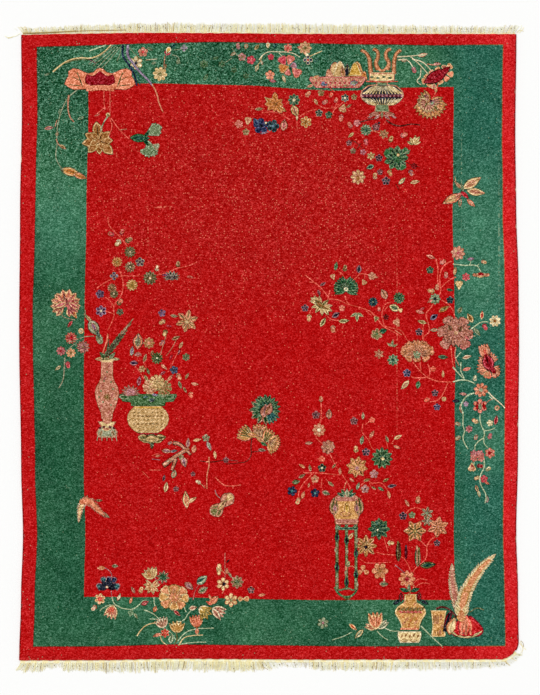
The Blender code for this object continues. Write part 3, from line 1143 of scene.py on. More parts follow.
def quill(name, pairs, lean, width):
    """A feather of length 1 about its middle: pairs of petals that lean along a rib."""
    petal, stretch = MOTIF["pointed_petal"], 0.9
    made = []
    for i in range(pairs):
        share = i / pairs
        length = width * (0.55 + 0.45 * math.sin(math.pi * (0.15 + 0.85 * share)))
        for side in (-1, 1):
            root = (0, -0.5 + 0.82 * share)
            made.append(laid(petal, root, length, side * lean, PETAL_STEP * (i % 2), stretch))
    made.append(laid(petal, (0, 0.5 - width), width, layer=0.3, stretch=stretch))
    made.append(laid(MOTIF["slim_blade"], (0, -0.5), 0.95, layer=0.7, stretch=0.3, tone_shift=HEART))
    return joined(name, made)


def evenly(count, spread, length, droop=0.0):
    """(turn, length) of lobes spread evenly about straight up, shorter by droop at the sides."""
    turns = [spread * (i / (count - 1) - 0.5) for i in range(count)]
    return [(turn, length * (1 - droop * abs(turn) / spread)) for turn in turns]


# Half outlines of the open lotus leaf and its dark inside, in these parts of its width
LEAF_PARTS = 72
LEAF_HALF = (
    (0, -10), (15, -10.5), (26, -11), (31, -9), (36, -5), (34, 0), (32, 3), (32, 8), (27, 11), (21, 10),
    (17, 8), (12, 6), (7, 7), (3.5, 10.5), (0, 11.5),
)
INSIDE_HALF = ((0, -6), (10, -6.5), (15, -4), (15, 1), (13, 5), (8, 3), (5, 4), (2, 7), (0, 8))


def open_lotus_leaf(name):
    """A wide leaf seen from the side: scalloped, veined to both sides, dark inside, with a lip."""
    outline = [(x / LEAF_PARTS, y / LEAF_PARTS) for x, y in LEAF_HALF]
    hollow = [(x / LEAF_PARTS, y / LEAF_PARTS) for x, y in INSIDE_HALF]
    blade = ruffled(name, outline, 0.02, 0.008)
    inside = ruffled(name + "_inside", hollow, 0.01, 0.006)
    made = [blade, laid(inside, (0, 0), 1.0, layer=1.4, tone_shift=HEART)]
    for side in (-1, 1):
        for x, y, length, turn in ((17, -9, 17, 20), (19, -2, 10, 64), (20, 2, 8, 44), (18, -7, 13, 84)):
            root = (side * x / LEAF_PARTS, y / LEAF_PARTS)
            made.append(laid(MOTIF["slim_blade"], root, length / LEAF_PARTS, side * turn, 1.1, 0.55, 4))
    for i in range(9):
        drop = -7.5 - 0.25 * abs(i - 4)
        spot = (3.1 * (i - 4) / LEAF_PARTS, drop / LEAF_PARTS)
        made.append(laid(MOTIF["broad_petal"], spot, 0.055, 180, 1.5, 0.8))
    bpy.data.objects.remove(inside)
    return joined(name, made)


def gold_flower(name):
    """A loose flower of broad pointed petals, some of them folded over the others."""
    outer = (
        (-8, 0.62), (-62, 0.5), (-98, 0.54), (-136, 0.5), (178, 0.42), (134, 0.6), (88, 0.44), (50, 0.46),
    )
    inner = ((-40, 0.36), (24, 0.32), (108, 0.34), (158, 0.3), (-112, 0.32))
    petal = MOTIF["keen_petal"]
    made = [laid(petal, (0, 0), length, turn, 0.1 * i, 0.9) for i, (turn, length) in enumerate(outer)]
    made += [laid(petal, (0, 0), length, turn, 1 + 0.1 * i) for i, (turn, length) in enumerate(inner)]
    made.append(laid(MOTIF["button"], (0, 0), 0.09, layer=1.8, tone_shift=HEART))
    return joined(name, made)


MOTIF["open_leaf"] = open_lotus_leaf("open_leaf")
MOTIF["gold_flower"] = gold_flower("gold_flower")
MOTIF["ruffle"] = laid(MOTIF["ruffled_petal"], (0, -0.5), 1.0)
MOTIF["stroke"] = laid(MOTIF["slim_blade"], (0, -0.5), 1.0)
MOUND_HALF = ((0, -0.5), (0.52, -0.5), (0.42, -0.22), (0.3, 0.05), (0.22, 0.3), (0.1, 0.45), (0, 0.5))
MOTIF["mound"] = ruffled("mound", MOUND_HALF, 0.05)
MOTIF["lotus"] = fan("lotus", "pointed_petal", evenly(9, 210, 0.55, 0.3), 1.25, 0.3)
MOTIF["shell"] = fan("shell", "broad_petal", evenly(3, 64, 0.5), 0.75)
MOTIF["pinks"] = fan("pinks", "round_petal", evenly(3, 80, 0.6), 0.8)
MOTIF["quill"] = quill("quill", 9, 24, 0.15)
MOTIF["jagged_leaf"] = leaf("jagged_leaf", "toothed_leaf")
MOTIF["scale"] = laid(MOTIF["broad_petal"], (0, -0.5), 1.0, stretch=0.8)
print("the motif box now holds", len(MOTIF), "forms")

# %% [markdown]
# The dragonfly is the same again: four blades for its wings, a slim body and a head. The moth is
# drawn with its spray, as two plumes.

# %% Dragonfly
DRAGONFLY_WINGS = (
    ((0, 0.05), 95, 0.52, 0.75), ((0, 0.05), -82, 0.55, 0.7), ((0, 0), 140, 0.36, 0.8),
    ((0, 0), -140, 0.36, 0.8),
)
BODY_LENGTH = 0.6


def dragonfly(name):
    """Wings as (root, turn, length, stretch), then a body and a head along the middle."""
    blade = MOTIF["leaf_blade"]
    made = []
    for i, (root, turn, size, stretch) in enumerate(DRAGONFLY_WINGS):
        made.append(laid(blade, root, size, turn, 0.2 * i, stretch))
    made.append(laid(blade, (0, -BODY_LENGTH / 2), BODY_LENGTH, 0, 1.4, 0.35, HEART))
    made.append(laid(MOTIF["button"], (0, BODY_LENGTH / 2), 0.1, 0, 1.8, 1.0, HEART))
    return joined(name, made)


MOTIF["dragonfly"] = dragonfly("dragonfly")
print("the dragonfly has", len(MOTIF["dragonfly"].data.polygons), "faces")

# %% [markdown]
# ## Jars, bowls and stands
# Each is drawn from the foot up, in millimetres, as (height, half width, tone of the band above).
# Dots and strokes that are woven over them come after, as small motifs of their own.

# %% Jars, bowls and stands
BALUSTER = (
    (0, 30, 1), (32, 33, 1), (70, 50, 1), (110, 62, 1), (142, 67, 1), (176, 60, 1), (205, 42, 1),
    (232, 34, 1), (308, 33, 1), (318, 40, 2), (328, 62, 2),
)
DISH = ((0, 118, 1), (20, 138, 1), (46, 156, 1), (62, 150, 1))
LOW_STAND = ((0, 40, 1), (8, 54, 1), (34, 58, 1), (56, 44, 1), (64, 34, 2), (84, 48, 2), (90, 50, 2))
TRAY = ((0, 92, 2), (20, 96, 2), (24, 140, 1), (56, 158, 1), (66, 156, 1))
BASKET = (
    (0, 56, 2), (8, 70, 1), (24, 90, 1), (46, 107, 1), (74, 115, 1), (98, 112, 1), (120, 100, 1),
    (140, 82, 2), (150, 74, 2),
)
CENSER = (
    (0, 42, 1), (36, 38, 2), (42, 74, 2), (62, 102, 2), (82, 118, 3), (98, 120, 2), (122, 112, 2),
    (150, 78, 1), (154, 32, 1), (168, 32, 3), (172, 68, 4), (178, 70, 4), (214, 70, 4),
)
ROUND_JAR = (
    (0, 56, 3), (8, 66, 3), (28, 64, 2), (38, 68, 1), (74, 82, 1), (104, 82, 1), (130, 72, 3),
    (152, 62, 3), (166, 42, 3),
)
TWO_EARED = (
    (0, 50, 1), (20, 52, 1), (46, 62, 1), (70, 78, 1), (84, 86, 2), (104, 84, 1), (124, 72, 1),
    (138, 50, 1), (146, 36, 1), (184, 33, 1), (190, 36, 1),
)
BEAKER = ((0, 34, 1), (10, 40, 1), (60, 34, 1), (70, 35, 1), (120, 40, 1), (146, 44, 1))
LOW_POT = (
    (0, 50, 1), (4, 68, 1), (14, 82, 1), (30, 91, 1), (48, 88, 1), (66, 76, 1), (84, 60, 1),
    (102, 40, 1), (116, 22, 1),
)
VASE_FOOT = ((0, 52, 1), (14, 60, 1), (40, 66, 1), (64, 64, 1))
POST = ((0, 9, 1), (180, 8, 1), (352, 9, 1))
RAIL = ((0, 70, 1), (18, 72, 1))

for name, rows in (
    ("baluster", BALUSTER), ("low_stand", LOW_STAND), ("dish", DISH), ("tray", TRAY),
    ("basket", BASKET),
    ("censer", CENSER), ("round_jar", ROUND_JAR), ("two_eared", TWO_EARED), ("beaker", BEAKER),
    ("low_pot", LOW_POT), ("foot", VASE_FOOT),
):
    MOTIF[name] = jar(name, rows, 6)
MOTIF["post"] = jar("post", POST, 3)
MOTIF["rail"] = jar("rail", RAIL, 4)
print("jars and stands:", len(MOTIF), "forms in all")


def strewn(form, spots, size, turn, words):
    """The same motif at several pixels."""
    return [(form, spot, size, turn, words) for spot in spots]


def strokes(pairs, words, form="stroke"):
    """A blade from each first pixel to its second, all in one layer."""
    made = []
    pairs = list(pairs)
    group = str(pairs) + words
    for (x0, y0), (x1, y1) in pairs:
        length = math.hypot(x1 - x0, y1 - y0) * PIXEL / MM
        turn = math.degrees(math.atan2(x1 - x0, y0 - y1))
        made.append((form, ((x0 + x1) / 2, (y0 + y1) / 2), length, turn, words, group))
    return made


def between(first, last, count):
    """So many pixels evenly from the first to the last."""
    steps = [i / (count - 1) for i in range(count)]
    across, down = last[0] - first[0], last[1] - first[1]
    return [(first[0] + across * step, first[1] + down * step) for step in steps]


def spread(root, reach, turns, words, form="stroke"):
    """Blades of this length in pixels from a root pixel, one for each turn."""
    tips = [(root[0] + reach * math.sin(math.radians(turn)), root[1] - reach * math.cos(math.radians(turn)))
            for turn in turns]
    return strokes([(root, tip) for tip in tips], words, form)


BARB_STEP = 2.7


def plume(points, half_width, words, heart):
    """A bent feather: barbs leaning out from a line of pixels, with dots down its heart."""
    barbs, spine = [], []
    for number, ((x0, y0), (x1, y1)) in enumerate(zip(points, points[1:])):
        length = math.hypot(x1 - x0, y1 - y0)
        ahead = ((x1 - x0) / length, (y1 - y0) / length)
        aside = (-ahead[1], ahead[0])
        count = round(length / BARB_STEP)
        for step in range(count):
            x, y = x0 + (x1 - x0) * step / count, y0 + (y1 - y0) * step / count
            reach = half_width * (1.1 - 0.65 * ((number + step / count) / (len(points) - 1)) ** 2)
            for out in (-reach, reach):
                tip = (x + out * aside[0] + reach * ahead[0], y + out * aside[1] + reach * ahead[1])
                barbs.append(((x, y), tip))
            spine.append(("dot", (x, y), 1.2 * reach * PIXEL / MM, 0, heart, "heart"))
    barbs.append(((x, y), (x1 + half_width * ahead[0], y1 + half_width * ahead[1])))
    return strokes(barbs, words, "leaf") + spine

# %% [markdown]
# ## The top left corner
# Each spray below is this lesson's own arrangement of common flowers, placed where the rug has one.
# The first hangs over the corner: a scalloped lotus leaf under a branch of small flowers, a vine
# leaf in gold, and a climber that runs down the green band.

# %% Spray at the top left
spray("spray_top_left", """
cream 8: 53 72, 61 65, 70 60, 80 58, 92 58, 104 52, 111 45; ash 6: 89 51, 98 48, 106 45;
olive 4: 66 63, 76 60, 90 60; mist 4: 93 66, 106 55, 116 46; mist 4: 97 68, 108 57, 118 47;
mist 4: 102 68, 112 57, 120 47; mist 4: 89 64, 99 57, 113 46; mist 4: 117 61, 120 54, 121 47;
mist 4: 128 46, 134 53, 140 58; navy 10: 123 45, 123 56, 129 65, 135 77, 137 86;
teal 7: 131 66, 138 76, 140 85; lilac 13: 128 45, 128 56, 133 63, 139 71, 148 80, 153 86;
salmon 8: 152 84, 157 94, 159 103, 163 112; pale 4: 146 60, 157 59; tan 5: 165 56, 164 66;
mist 4: 172 55, 178 57, 180 64; mist 4: 174 50, 183 49;
mist 6: 77 90, 69 97, 63 107, 59 119, 57 131, 57 145, 56 158, 61 168;
tan 8: 69 95, 68 105, 70 117, 74 122; tan 5: 56 139, 60 146, 66 149; tan 4: 57 120, 55 127;
coral 5: 104 90, 104 101, 105 110; coral 5: 110 90, 110 115; coral 5: 104 108, 96 115;
mist 7: 108 116, 104 122, 100 132; coral 5: 109 117, 112 126, 109 136;
coral 5: 111 118, 119 129, 129 139; tan 4: 119 130, 127 129
""", """
open_leaf 100 79 392 0 salmon salmon wine wine olive; slim_leaf 92 61 44 120 ink mauve;
five 143 52 54 0 pink tan red; six 136 63 76 0 sand pale ink ink;
eight 160 74 82 8 cream sand olive olive; bud 168 51 50 25 pale gold rose; bud 173 46 32 60 teal bottle;
four 184 48 40 0 mist lilac; leaf 178 61 40 10 mist sage; leaf 165 67 34 200 tan olive;
leaf 150 49 36 110 mist leaf; leaf 154 63 32 70 mist sage; leaf 49 128 52 80 tan mauve;
leaf 57 134 34 10 tan olive; leaf 63 147 44 125 sand olive; leaf 60 111 34 20 mist leaf;
leaf 81 118 40 70 mist leaf; button 108 115 26 0 sand olive;
gold_flower 99 141 178 0 sand brown ochre tan; ruffle 153 131 92 62 mist sage mist;
ruffle 158 128 44 40 mist sage; ruffle 150 149 98 168 mist sage mist; ruffle 144 151 44 220 mist sage;
ruffle 156 146 44 110 tan mist; leaf 140 138 112 92 leaf bottle bottle; leaf 146 142 56 150 leaf bottle;
leaf 147 134 50 40 leaf bottle; leaf 97 115 30 250 salmon pink; leaf 71 172 118 105 sand amber ochre;
leaf 80 176 84 110 tan amber ochre; slim_leaf 62 169 40 150 mist sage; six 204 64 46 0 sage leaf;
leaf 206 77 46 30 sage leaf; leaf 216 58 36 70 sage leaf; slim_leaf 48 74 46 70 mist leaf
""")

# %% [markdown]
# ## Under the top border
# Small buds and two peonies straddle the line between band and field. Darker blossoms have dropped
# onto the field below.

# %% Sprays at the top
spray("spray_top_middle", """
pale 5: 259 60, 263 55, 268 52, 280 52, 292 53, 300 57; pale 4: 279 53, 283 57;
cream 5: 308 57, 315 54, 322 51; cream 4: 255 67, 260 62, 262 56;
coral 4: 262 113, 274 112, 284 116, 290 120; coral 4: 300 116, 307 112, 317 109;
coral 4: 243 127, 252 127; coral 4: 330 121, 334 110, 338 100; coral 4: 334 110, 341 104, 345 100;
coral 4: 317 104, 324 108, 334 108; coral 4: 286 104, 289 101; mist 4: 232 48, 238 56, 246 61;
mist 4: 226 62, 232 58
""", """
bud 238 46 36 -10 tan mauve; bud 246 47 38 15 tan mist leaf; leaf 233 54 38 240 tan mist;
leaf 257 47 42 40 sand olive; five 242 57 46 0 tan mauve olive; five 251 60 50 90 rose rose pink;
leaf 257 68 46 200 sand mist; leaf 262 63 30 160 tan mist; bud 268 46 38 0 pale sand leaf;
bud 275 46 30 20 teal bottle; six 288 48 48 0 salmon pink red; five 271 57 36 0 rose rose;
ruffle 283 61 62 -25 pink rose; ruffle 290 60 58 20 salmon pink; ruffle 284 68 64 -105 sand amber;
ruffle 293 66 46 65 lilac mauve; ruffle 296 72 66 130 salmon pink; ruffle 288 72 44 190 tan pink;
leaf 291 69 36 150 leaf bottle; five 270 75 54 0 tan salmon pink; leaf 273 81 40 100 rose mauve;
leaf 284 79 46 160 sand pale olive; eight 305 48 74 0 sand tan olive; four 308 60 52 0 pale navy red;
dot 307 55 20 0 pale pale; leaf 317 60 34 60 teal leaf; leaf 300 47 30 80 salmon pink;
star_six 222 64 44 0 sage leaf; star_six 234 70 36 0 sage leaf; star_six 246 76 36 0 sage leaf;
gold_flower 275 104 108 8 peach amber olive brown; leaf 268 100 52 -50 sand amber olive;
leaf 282 109 56 120 sand amber olive; eight 294 100 68 0 sage bottle pale; bud 308 94 38 40 tan salmon;
five 321 93 38 0 tan olive; leaf 316 102 40 150 sand tan; bud 325 102 36 60 tan pink;
bud 331 95 32 30 salmon coral; leaf 259 109 46 84 tan olive; broad_leaf 295 111 72 160 sand tan olive;
leaf 297 118 30 180 pale sand; ruffle 248 121 46 10 sand tan; five 239 124 48 60 salmon pink;
five 246 132 40 0 tan olive; five 261 126 88 0 blue navy ink; broad_leaf 256 122 50 -30 sky blue navy;
five 273 126 70 20 teal ink sky; dot 266 123 14 0 pale pale; slim_leaf 264 133 50 80 lilac mauve;
broad_leaf 284 125 66 10 tan pink; six 306 122 66 0 sand amber brown; five 319 113 42 0 mist ink;
five 329 115 44 0 sage bottle; six 345 98 46 0 mist navy pale; five 354 97 36 0 tan olive;
ruffle 343 108 50 200 sand tan; bud 341 118 40 190 salmon pink; leaf 349 106 36 60 tan olive;
bud 336 100 30 20 salmon pink
""")

# %% [markdown]
# ## The incense burner
# At the top right stands a footed bronze with two pairs of curled horns, beside a tray with two
# golden rocks. The bowl is a jar of bands with ribs laid over it. The horns are curves, like stems.

# %% Incense burner and tray of rocks
upper_ribs = zip(between((376, 85.5), (389, 85.5), 13), between((362.5, 94), (402.5, 94), 13))
lower_ribs = zip(between((362.5, 98), (402.5, 98), 13), between((373, 105), (392, 105), 13))
spray("incense_burner", """
brown 22: 371 74, 370 65, 369 58, 366 53, 361 50; brown 22: 394 74, 394 65, 395 58, 397 53, 401 50;
brown 22: 378 70, 376 63, 378 57, 377 51, 373 49; brown 22: 387 70, 389 63, 386 57, 387 51, 391 49;
peach 15: 371 74, 370 65, 369 58, 366 53, 361 50; peach 15: 394 74, 394 65, 395 58, 397 53, 401 50;
peach 15: 378 70, 376 63, 378 57, 377 51, 373 49; peach 15: 387 70, 389 63, 386 57, 387 51, 391 49;
peach 15: 377 66, 382 71, 388 66; pale 6: 397 57, 411 56, 427 54; pale 6: 398 60, 407 60, 414 69;
pale 6: 411 57, 420 65, 428 74; pale 6: 412 59, 424 63, 433 73; tan 6: 427 64, 434 65, 441 64;
pale 5: 421 68, 420 77, 417 81, 421 85; coral 5: 366 81.5, 382 82, 398 81.5;
coral 5: 438 84, 435 94, 431 100
""", [
    ("censer", (382, 112.5), 1000, 0, "tan sage ink mauve cream"),
    ("rail", (382.5, 75), 850, 0, "cream tan"),
    *strokes(upper_ribs, "pale cream"), *strokes(lower_ribs, "pale cream"),
    *strewn("dot", between((365, 96), (400, 96), 10), 14, 0, "wine ink"),
    *strewn("leaf", ((372, 77), (378, 78), (384, 77), (390, 78)), 24, 90, "leaf bottle"),
    *motifs("""
leaf 374 114 60 262 blush dusk; leaf 390 114 60 98 blush dusk; leaf 382 115 44 180 tan sage;
leaf 377 117 44 230 tan mauve; leaf 387 117 44 130 tan mauve; leaf 370 117 32 250 dusk mauve;
leaf 394 117 32 110 dusk mauve; leaf 423 55 56 76 tan pale; bud 414 70 38 160 pink mauve;
leaf 437 64 44 84 tan mauve; leaf 404 61 30 100 tan mist; ruffle 425 81 44 260 cream salmon;
ruffle 430 84 42 215 cream peach; ruffle 434 86 38 180 cream dusk; ruffle 440 81 42 150 cream peach;
ruffle 446 78 42 140 peach salmon; ruffle 450 74 44 100 cream salmon; ruffle 449 67 44 50 cream peach;
ruffle 444 68 38 0 cream dusk; ruffle 438 70 38 -30 cream peach; ruffle 432 73 38 -40 cream salmon;
ruffle 427 77 38 -50 cream peach; leaf 436 90 36 180 cream salmon; leaf 437 76 160 62 wine wine;
leaf 430 80 84 245 wine wine; leaf 445 71 78 50 wine wine
"""),
    *spread((430, 102), 18, range(100, 262, 15), "wheat peach", "leaf"),
    *spread((430, 102), 14, (-98, -80, -62, -44, -26, 70, 86, 100), "wheat dusk olive", "leaf"),
    *spread((428, 103), 11, range(100, 300, 22), "cream dusk olive", "leaf"),
    *motifs("""
leaf 423 96 44 -30 sand olive; leaf 426 105 44 200 tan olive; leaf 436 108 44 140 sand olive;
button 432 103 34 0 mauve sage; dot 431 101 16 0 wine ink; dot 425 96 14 0 wine ink
"""),
])

spray("tray_of_rocks", """
coral 4: 330 88, 335 92
""", [
    *motifs("""
mound 335 71 104 0 tan sand; mound 357 70 98 0 sand amber; mound 340 69 92 0 pale sand;
mound 355 69 76 0 cream gold; mound 329 74 56 -10 tan tan; mound 364 75 44 10 tan amber;
leaf 347 71 84 3 olive ink; leaf 343 72 66 -10 tan brown; dish 337.5 88 1000 0 pink blush
"""),
    *strewn("dot", between((314, 80), (361, 80), 12) + between((319, 85), (357, 85), 9), 15, 0, "cream rose"),
    *strewn("dot", between((316, 83), (359, 83), 10) + between((324, 87), (352, 87), 6), 13, 0, "wine rose"),
    *motifs("""
broad_leaf 324 84 44 100 lilac sky; broad_leaf 354 83 50 80 lilac mist; leaf 310 86 40 250 cream pink;
leaf 346 86 40 90 tan olive; leaf 316 77 40 70 cream salmon
"""),
])

# %% [markdown]
# ## The upper right of the field, and the right border
# Round dark blossoms drift down the field, with a golden dragonfly on the green. Below it a long
# spray crosses from the field into the border and back.

# %% Blossoms on the upper right
spray("blossoms_upper_right", """
umber 7: 354 124, 364 121, 373 119, 379 117; umber 8: 386 120, 392 124, 400 126, 412 124, 420 125;
umber 4: 351 140, 357 143, 362 148; umber 4: 357 149, 361 143; salmon 4: 371 130, 380 133, 384 134;
umber 4: 396 184, 399 190; coral 4: 404 129, 404 133; umber 4: 406 162, 414 166, 420 167
""", """
bud 350 125 38 330 salmon pink; five 357 123 40 30 mauve pink; aster 366 130 68 0 mist leaf ink bottle;
five 376 127 44 0 mauve umber; dot 379 123 14 0 ink ink; leaf 351 135 42 230 cream sand olive;
star_six 384 134 56 12 sand tan brown; bud 391 139 38 20 sand brown; bud 404 135 42 70 salmon pink;
leaf 410 143 40 -60 sand olive; leaf 412 141 48 -30 cream sand olive;
leaf 415 140 54 5 cream sand olive; leaf 417 140 52 40 cream sand olive;
leaf 417 143 44 75 cream sand olive; five 349 143 34 0 mauve umber; bud 366 142 38 170 rose pink;
five 353 151 34 0 mauve olive; five 363 152 36 20 rose mauve; star_six 371 156 48 0 cream sand brown;
five 379 158 42 0 mauve ink; broad_leaf 370 167 46 250 mist bottle ink;
keen_rose 396 158 140 8 sage leaf bottle ink; ruffle 388 153 50 300 sage leaf;
ruffle 405 152 52 50 sage leaf; ruffle 402 166 50 150 sage leaf; aster 397 158 118 0 sage bottle leaf;
keen_rose 398 158 74 20 sage leaf bottle; dot 398 155 20 0 salmon cream; leaf 407 152 44 60 sage mist;
bud 390 173 38 160 salmon sand; eight 358 177 84 0 tan sand brown; button 358 178 46 0 tan brown;
bud 375 176 38 0 sand tan; five 380 172 34 0 mauve umber; five 386 181 48 0 mauve ink teal;
leaf 402 181 54 45 mist cream olive; bud 411 173 38 160 salmon mauve; leaf 415 182 54 80 sand tan olive;
five 414 166 34 0 umber wine
""")

spray("dragonfly_in_flight", """
cream 4: 458 187, 456 182, 455 177; umber 6: 461 191, 465 195, 468 200
""", """
leaf 472 183 122 58 cream tan ochre; leaf 476 192 104 98 cream tan salmon;
leaf 471 203 62 132 salmon tan; leaf 460 203 50 188 tan mist olive;
leaf 452 199 120 245 salmon sand tan; leaf 458 196 56 230 pink tan; leaf 458 185 64 -42 sage tan;
leaf 462 187 50 -20 mist sage; leaf 465 195 58 132 rose red wine
""")

# %% Spray on the right border, upper half
spray("spray_right_upper", """
coral 6: 436 259, 438 268, 438 283, 441 289;
coral 6: 452 261, 446 264, 441 271, 440 283, 441 290, 439 296; coral 5: 456 277, 448 281, 442 287;
coral 6: 434 303, 430 309, 426 314, 428 322, 429 332, 424 337, 423 344;
coral 6: 423 344, 423 330, 424 322; coral 6: 442 300, 449 305, 454 313, 455 322;
ash 6: 453 264, 466 265.5, 477 266, 481 272; ash 5: 470 265, 471 261; ash 5: 477 266, 479 264;
ash 7: 466 333, 474 327, 482 322, 488 322; ash 5: 466 336, 476 336
""", [
    *motifs("""
eight 458 253 80 10 blush tan mauve; five 458 253 46 0 pink blush rose; dot 456 251 12 0 cream cream;
leaf 431 257 52 110 salmon pink; bud 443 262 38 60 salmon pink; five 430 270 42 0 sage bottle;
leaf 471 259 42 80 mauve lilac; bud 484 262 32 110 cream tan; bud 446 275 36 0 tan pink;
leaf 455 271 50 10 tan sand olive; six 466 277 46 0 pink rose; leaf 481 275 72 88 cream tan red;
leaf 481 274 38 90 red wine; bud 475 275 28 -80 salmon tan; bud 487 275 28 80 salmon tan;
ruffle 459 285 52 0 cream sand tan; bud 437 287 34 10 salmon tan; bud 431 291 40 280 salmon sand;
leaf 450 290 38 100 sage bottle; eight 435 299 62 0 mist sage ink; leaf 430 301 36 240 salmon pink;
five 450 300 42 0 teal ink; leaf 444 309 68 62 amber olive sand; leaf 420 312 50 105 salmon pink;
leaf 422 309 34 60 pink rose; broad_leaf 434 317 50 55 lilac ink navy;
leaf 422 322 52 285 sand olive amber; five 419 332 42 0 mauve ink; leaf 434 330 46 265 mist tan;
broad_leaf 460 310 42 30 mist olive sage; broad_leaf 470 318 58 -30 cream brown olive;
leaf 482 315 52 5 cream red wine; eight 495 321 66 20 pale cream brown; bud 485 327 40 150 pink rose;
leaf 477 332 58 140 mist sage olive; ruffle 449 322 72 -28 blush dusk; ruffle 463 323 70 25 blush dusk;
ruffle 443 332 70 -85 blush dusk; ruffle 468 334 66 92 blush dusk; ruffle 446 343 70 218 blush dusk;
ruffle 464 343 76 148 pink dusk
"""),
    *spread((456, 332), 16, range(-170, 180, 17), "blush dusk", "leaf"),
    *spread((456, 333), 11, range(-165, 180, 24), "tan dusk", "leaf"),
    *motifs("""
broad_leaf 450 328 34 -20 olive umber; broad_leaf 460 329 36 20 olive umber; dot 456 333 20 0 cream tan;
leaf 467 338 36 130 rose pink
"""),
])

# %% [markdown]
# Below it are a ruffled cream peony on the field and a serrated leaf on the band, and a vine that
# hangs from a pink blossom.

# %% Spray on the right border, lower half
spray("spray_right_lower", """
coral 6: 413 362, 420 371, 428 378; coral 6: 420 362, 421 371; coral 6: 428 364, 430 371, 429 377;
coral 6: 428 377, 420 378, 411 377; coral 5: 421 377, 418 383;
coral 7: 429 378, 437 381, 447 382, 453 382; coral 6: 451 346, 452 358, 454 368;
coral 6: 448 383, 444 392, 438 400, 430 402; coral 5: 435 401, 436 406;
blush 6: 456 347, 455 356, 459 366; blush 5: 495 398, 490 400, 486 403;
blush 6: 461 404, 460 409, 462 413; ash 7: 453 367, 459 374, 465 380; ash 5: 456 358, 461 352;
ash 6: 461 362, 461 371, 464 378; ash 7: 453 382, 462 380, 472 382, 475 384;
ash 7: 474 393, 467 396, 463 401, 461 406, 463 413, 463 425, 465 432;
ash 7: 465 431, 463 438, 465 444, 468 449; pale 7: 488 392, 494 398, 500 403, 505 408;
ash 5: 489 396, 493 400; ash 6: 480 414, 480 420, 482 427, 484 430, 490 430, 495 428;
ash 7: 484 430, 484 437, 479 441, 475 446, 475 450; ash 6: 484 438, 484 443, 488 448;
ash 7: 484 458, 484 468, 481 474, 480 482, 483 489, 486 495, 485 503; ash 5: 474 460, 474 466;
umber 8: 488 362, 494 371, 497 377
""", [
    *motifs("""
ruffle 406 351 66 280 salmon peach; ruffle 429 351 62 82 salmon peach;
ruffle 410 347 66 -50 salmon peach; ruffle 424 347 66 48 salmon peach; ruffle 417 346 68 0 salmon peach;
ruffle 410 357 56 225 salmon peach; ruffle 425 357 56 140 salmon peach;
ruffle 417 358 50 180 salmon peach
"""),
    *spread((417, 354), 15, range(-98, 106, 17), "peach peach", "leaf"),
    *spread((417, 355), 11, range(-90, 100, 15), "salmon tan olive"),
    *spread((417, 352), 9, (130, 155, 180, 205, 230), "salmon tan"),
    *motifs("""
five 417 355 42 0 mist sage olive; dot 414 352 12 0 olive olive; six 377 334 66 0 tan olive leaf;
leaf 383 331 44 75 leaf bottle; three_leaf 392 345 58 10 salmon sage;
star_six 379 354 58 0 salmon tan olive; eight 393 360 64 0 mist leaf bottle;
five 407 373 46 0 lilac navy; leaf 405 385 68 222 cream tan mist; broad_leaf 418 385 46 190 sage leaf;
leaf 443 374 42 0 salmon sand; five 433 369 32 0 salmon coral; leaf 443 357 58 95 sage bottle olive;
leaf 467 357 54 75 pale tan olive; leaf 467 369 50 75 salmon pink; bud 475 378 34 10 mist pale;
five 435 393 40 0 mauve ink; five 437 407 40 0 lilac navy; leaf 456 401 46 90 ink ink;
bud 427 400 34 250 salmon coral; button 444 399 26 0 sand tan; ruffle 483 370 56 235 salmon blush;
ruffle 488 374 56 190 salmon coral; ruffle 495 373 56 150 salmon blush
"""),
    *spread((489, 368), 13, range(-110, -40, 17), "tan salmon", "leaf"),
    *spread((488, 362), 11, range(-80, 90, 17), "tan salmon", "leaf"),
    *spread((487, 360), 17, (-30, -20, -10, 0), "tan salmon", "leaf"),
    *spread((492, 370), 9, (60, 80, 100, 130, 160), "tan salmon", "leaf"),
    *spread((487, 371), 7, (-150, -175, 160), "cream salmon", "leaf"),
    *motifs("""
leaf 487 360 138 -14 salmon coral; broad_leaf 488 362 106 -18 rose wine wine;
leaf 492 369 66 -40 wine wine; eight 481 390 82 12 blush salmon mist; leaf 463 394 44 280 mauve blush;
five 466 404 30 0 mauve lilac; six 480 406 82 0 pink salmon mist; leaf 477 406 48 4 wine red;
leaf 484 406 48 -6 wine red; leaf 480 407 40 0 sage mist; button 497 408 30 0 tan olive;
bud 475 421 38 300 salmon cream; five 490 423 36 60 cream pale; leaf 496 420 56 12 pink wine;
six 469 429 40 0 pink mauve wine; bud 458 424 34 290 tan mist; bud 458 438 36 240 tan mist;
bud 476 437 34 200 pink mist; bud 490 436 36 20 mauve pink; six 474 454 46 0 pink mauve;
six 480 454 46 30 mauve pink; six 474 458 44 10 blush pink; six 481 458 44 50 blush pink;
six 490 453 58 0 salmon pink wine; leaf 489 453 30 0 wine red; ruffle 472 467 54 180 cream tan wine;
dot 472 466 14 0 wine wine; bud 480 466 36 100 pink wine; bud 488 469 34 60 cream mist;
bud 477 478 34 250 tan cream; five 484 479 44 0 pink rose wine; leaf 487 483 34 120 pink salmon;
leaf 477 489 46 160 tan olive; leaf 479 494 40 170 cream mist; leaf 487 499 44 0 mauve mist
"""),
])

# %% [markdown]
# ## The middle of the field
# A salmon branch runs down from a green blossom to the peony at the right. In the middle itself
# float a green aster and a ruffled cream flower like a shell. Left of them lies a fallen branch.

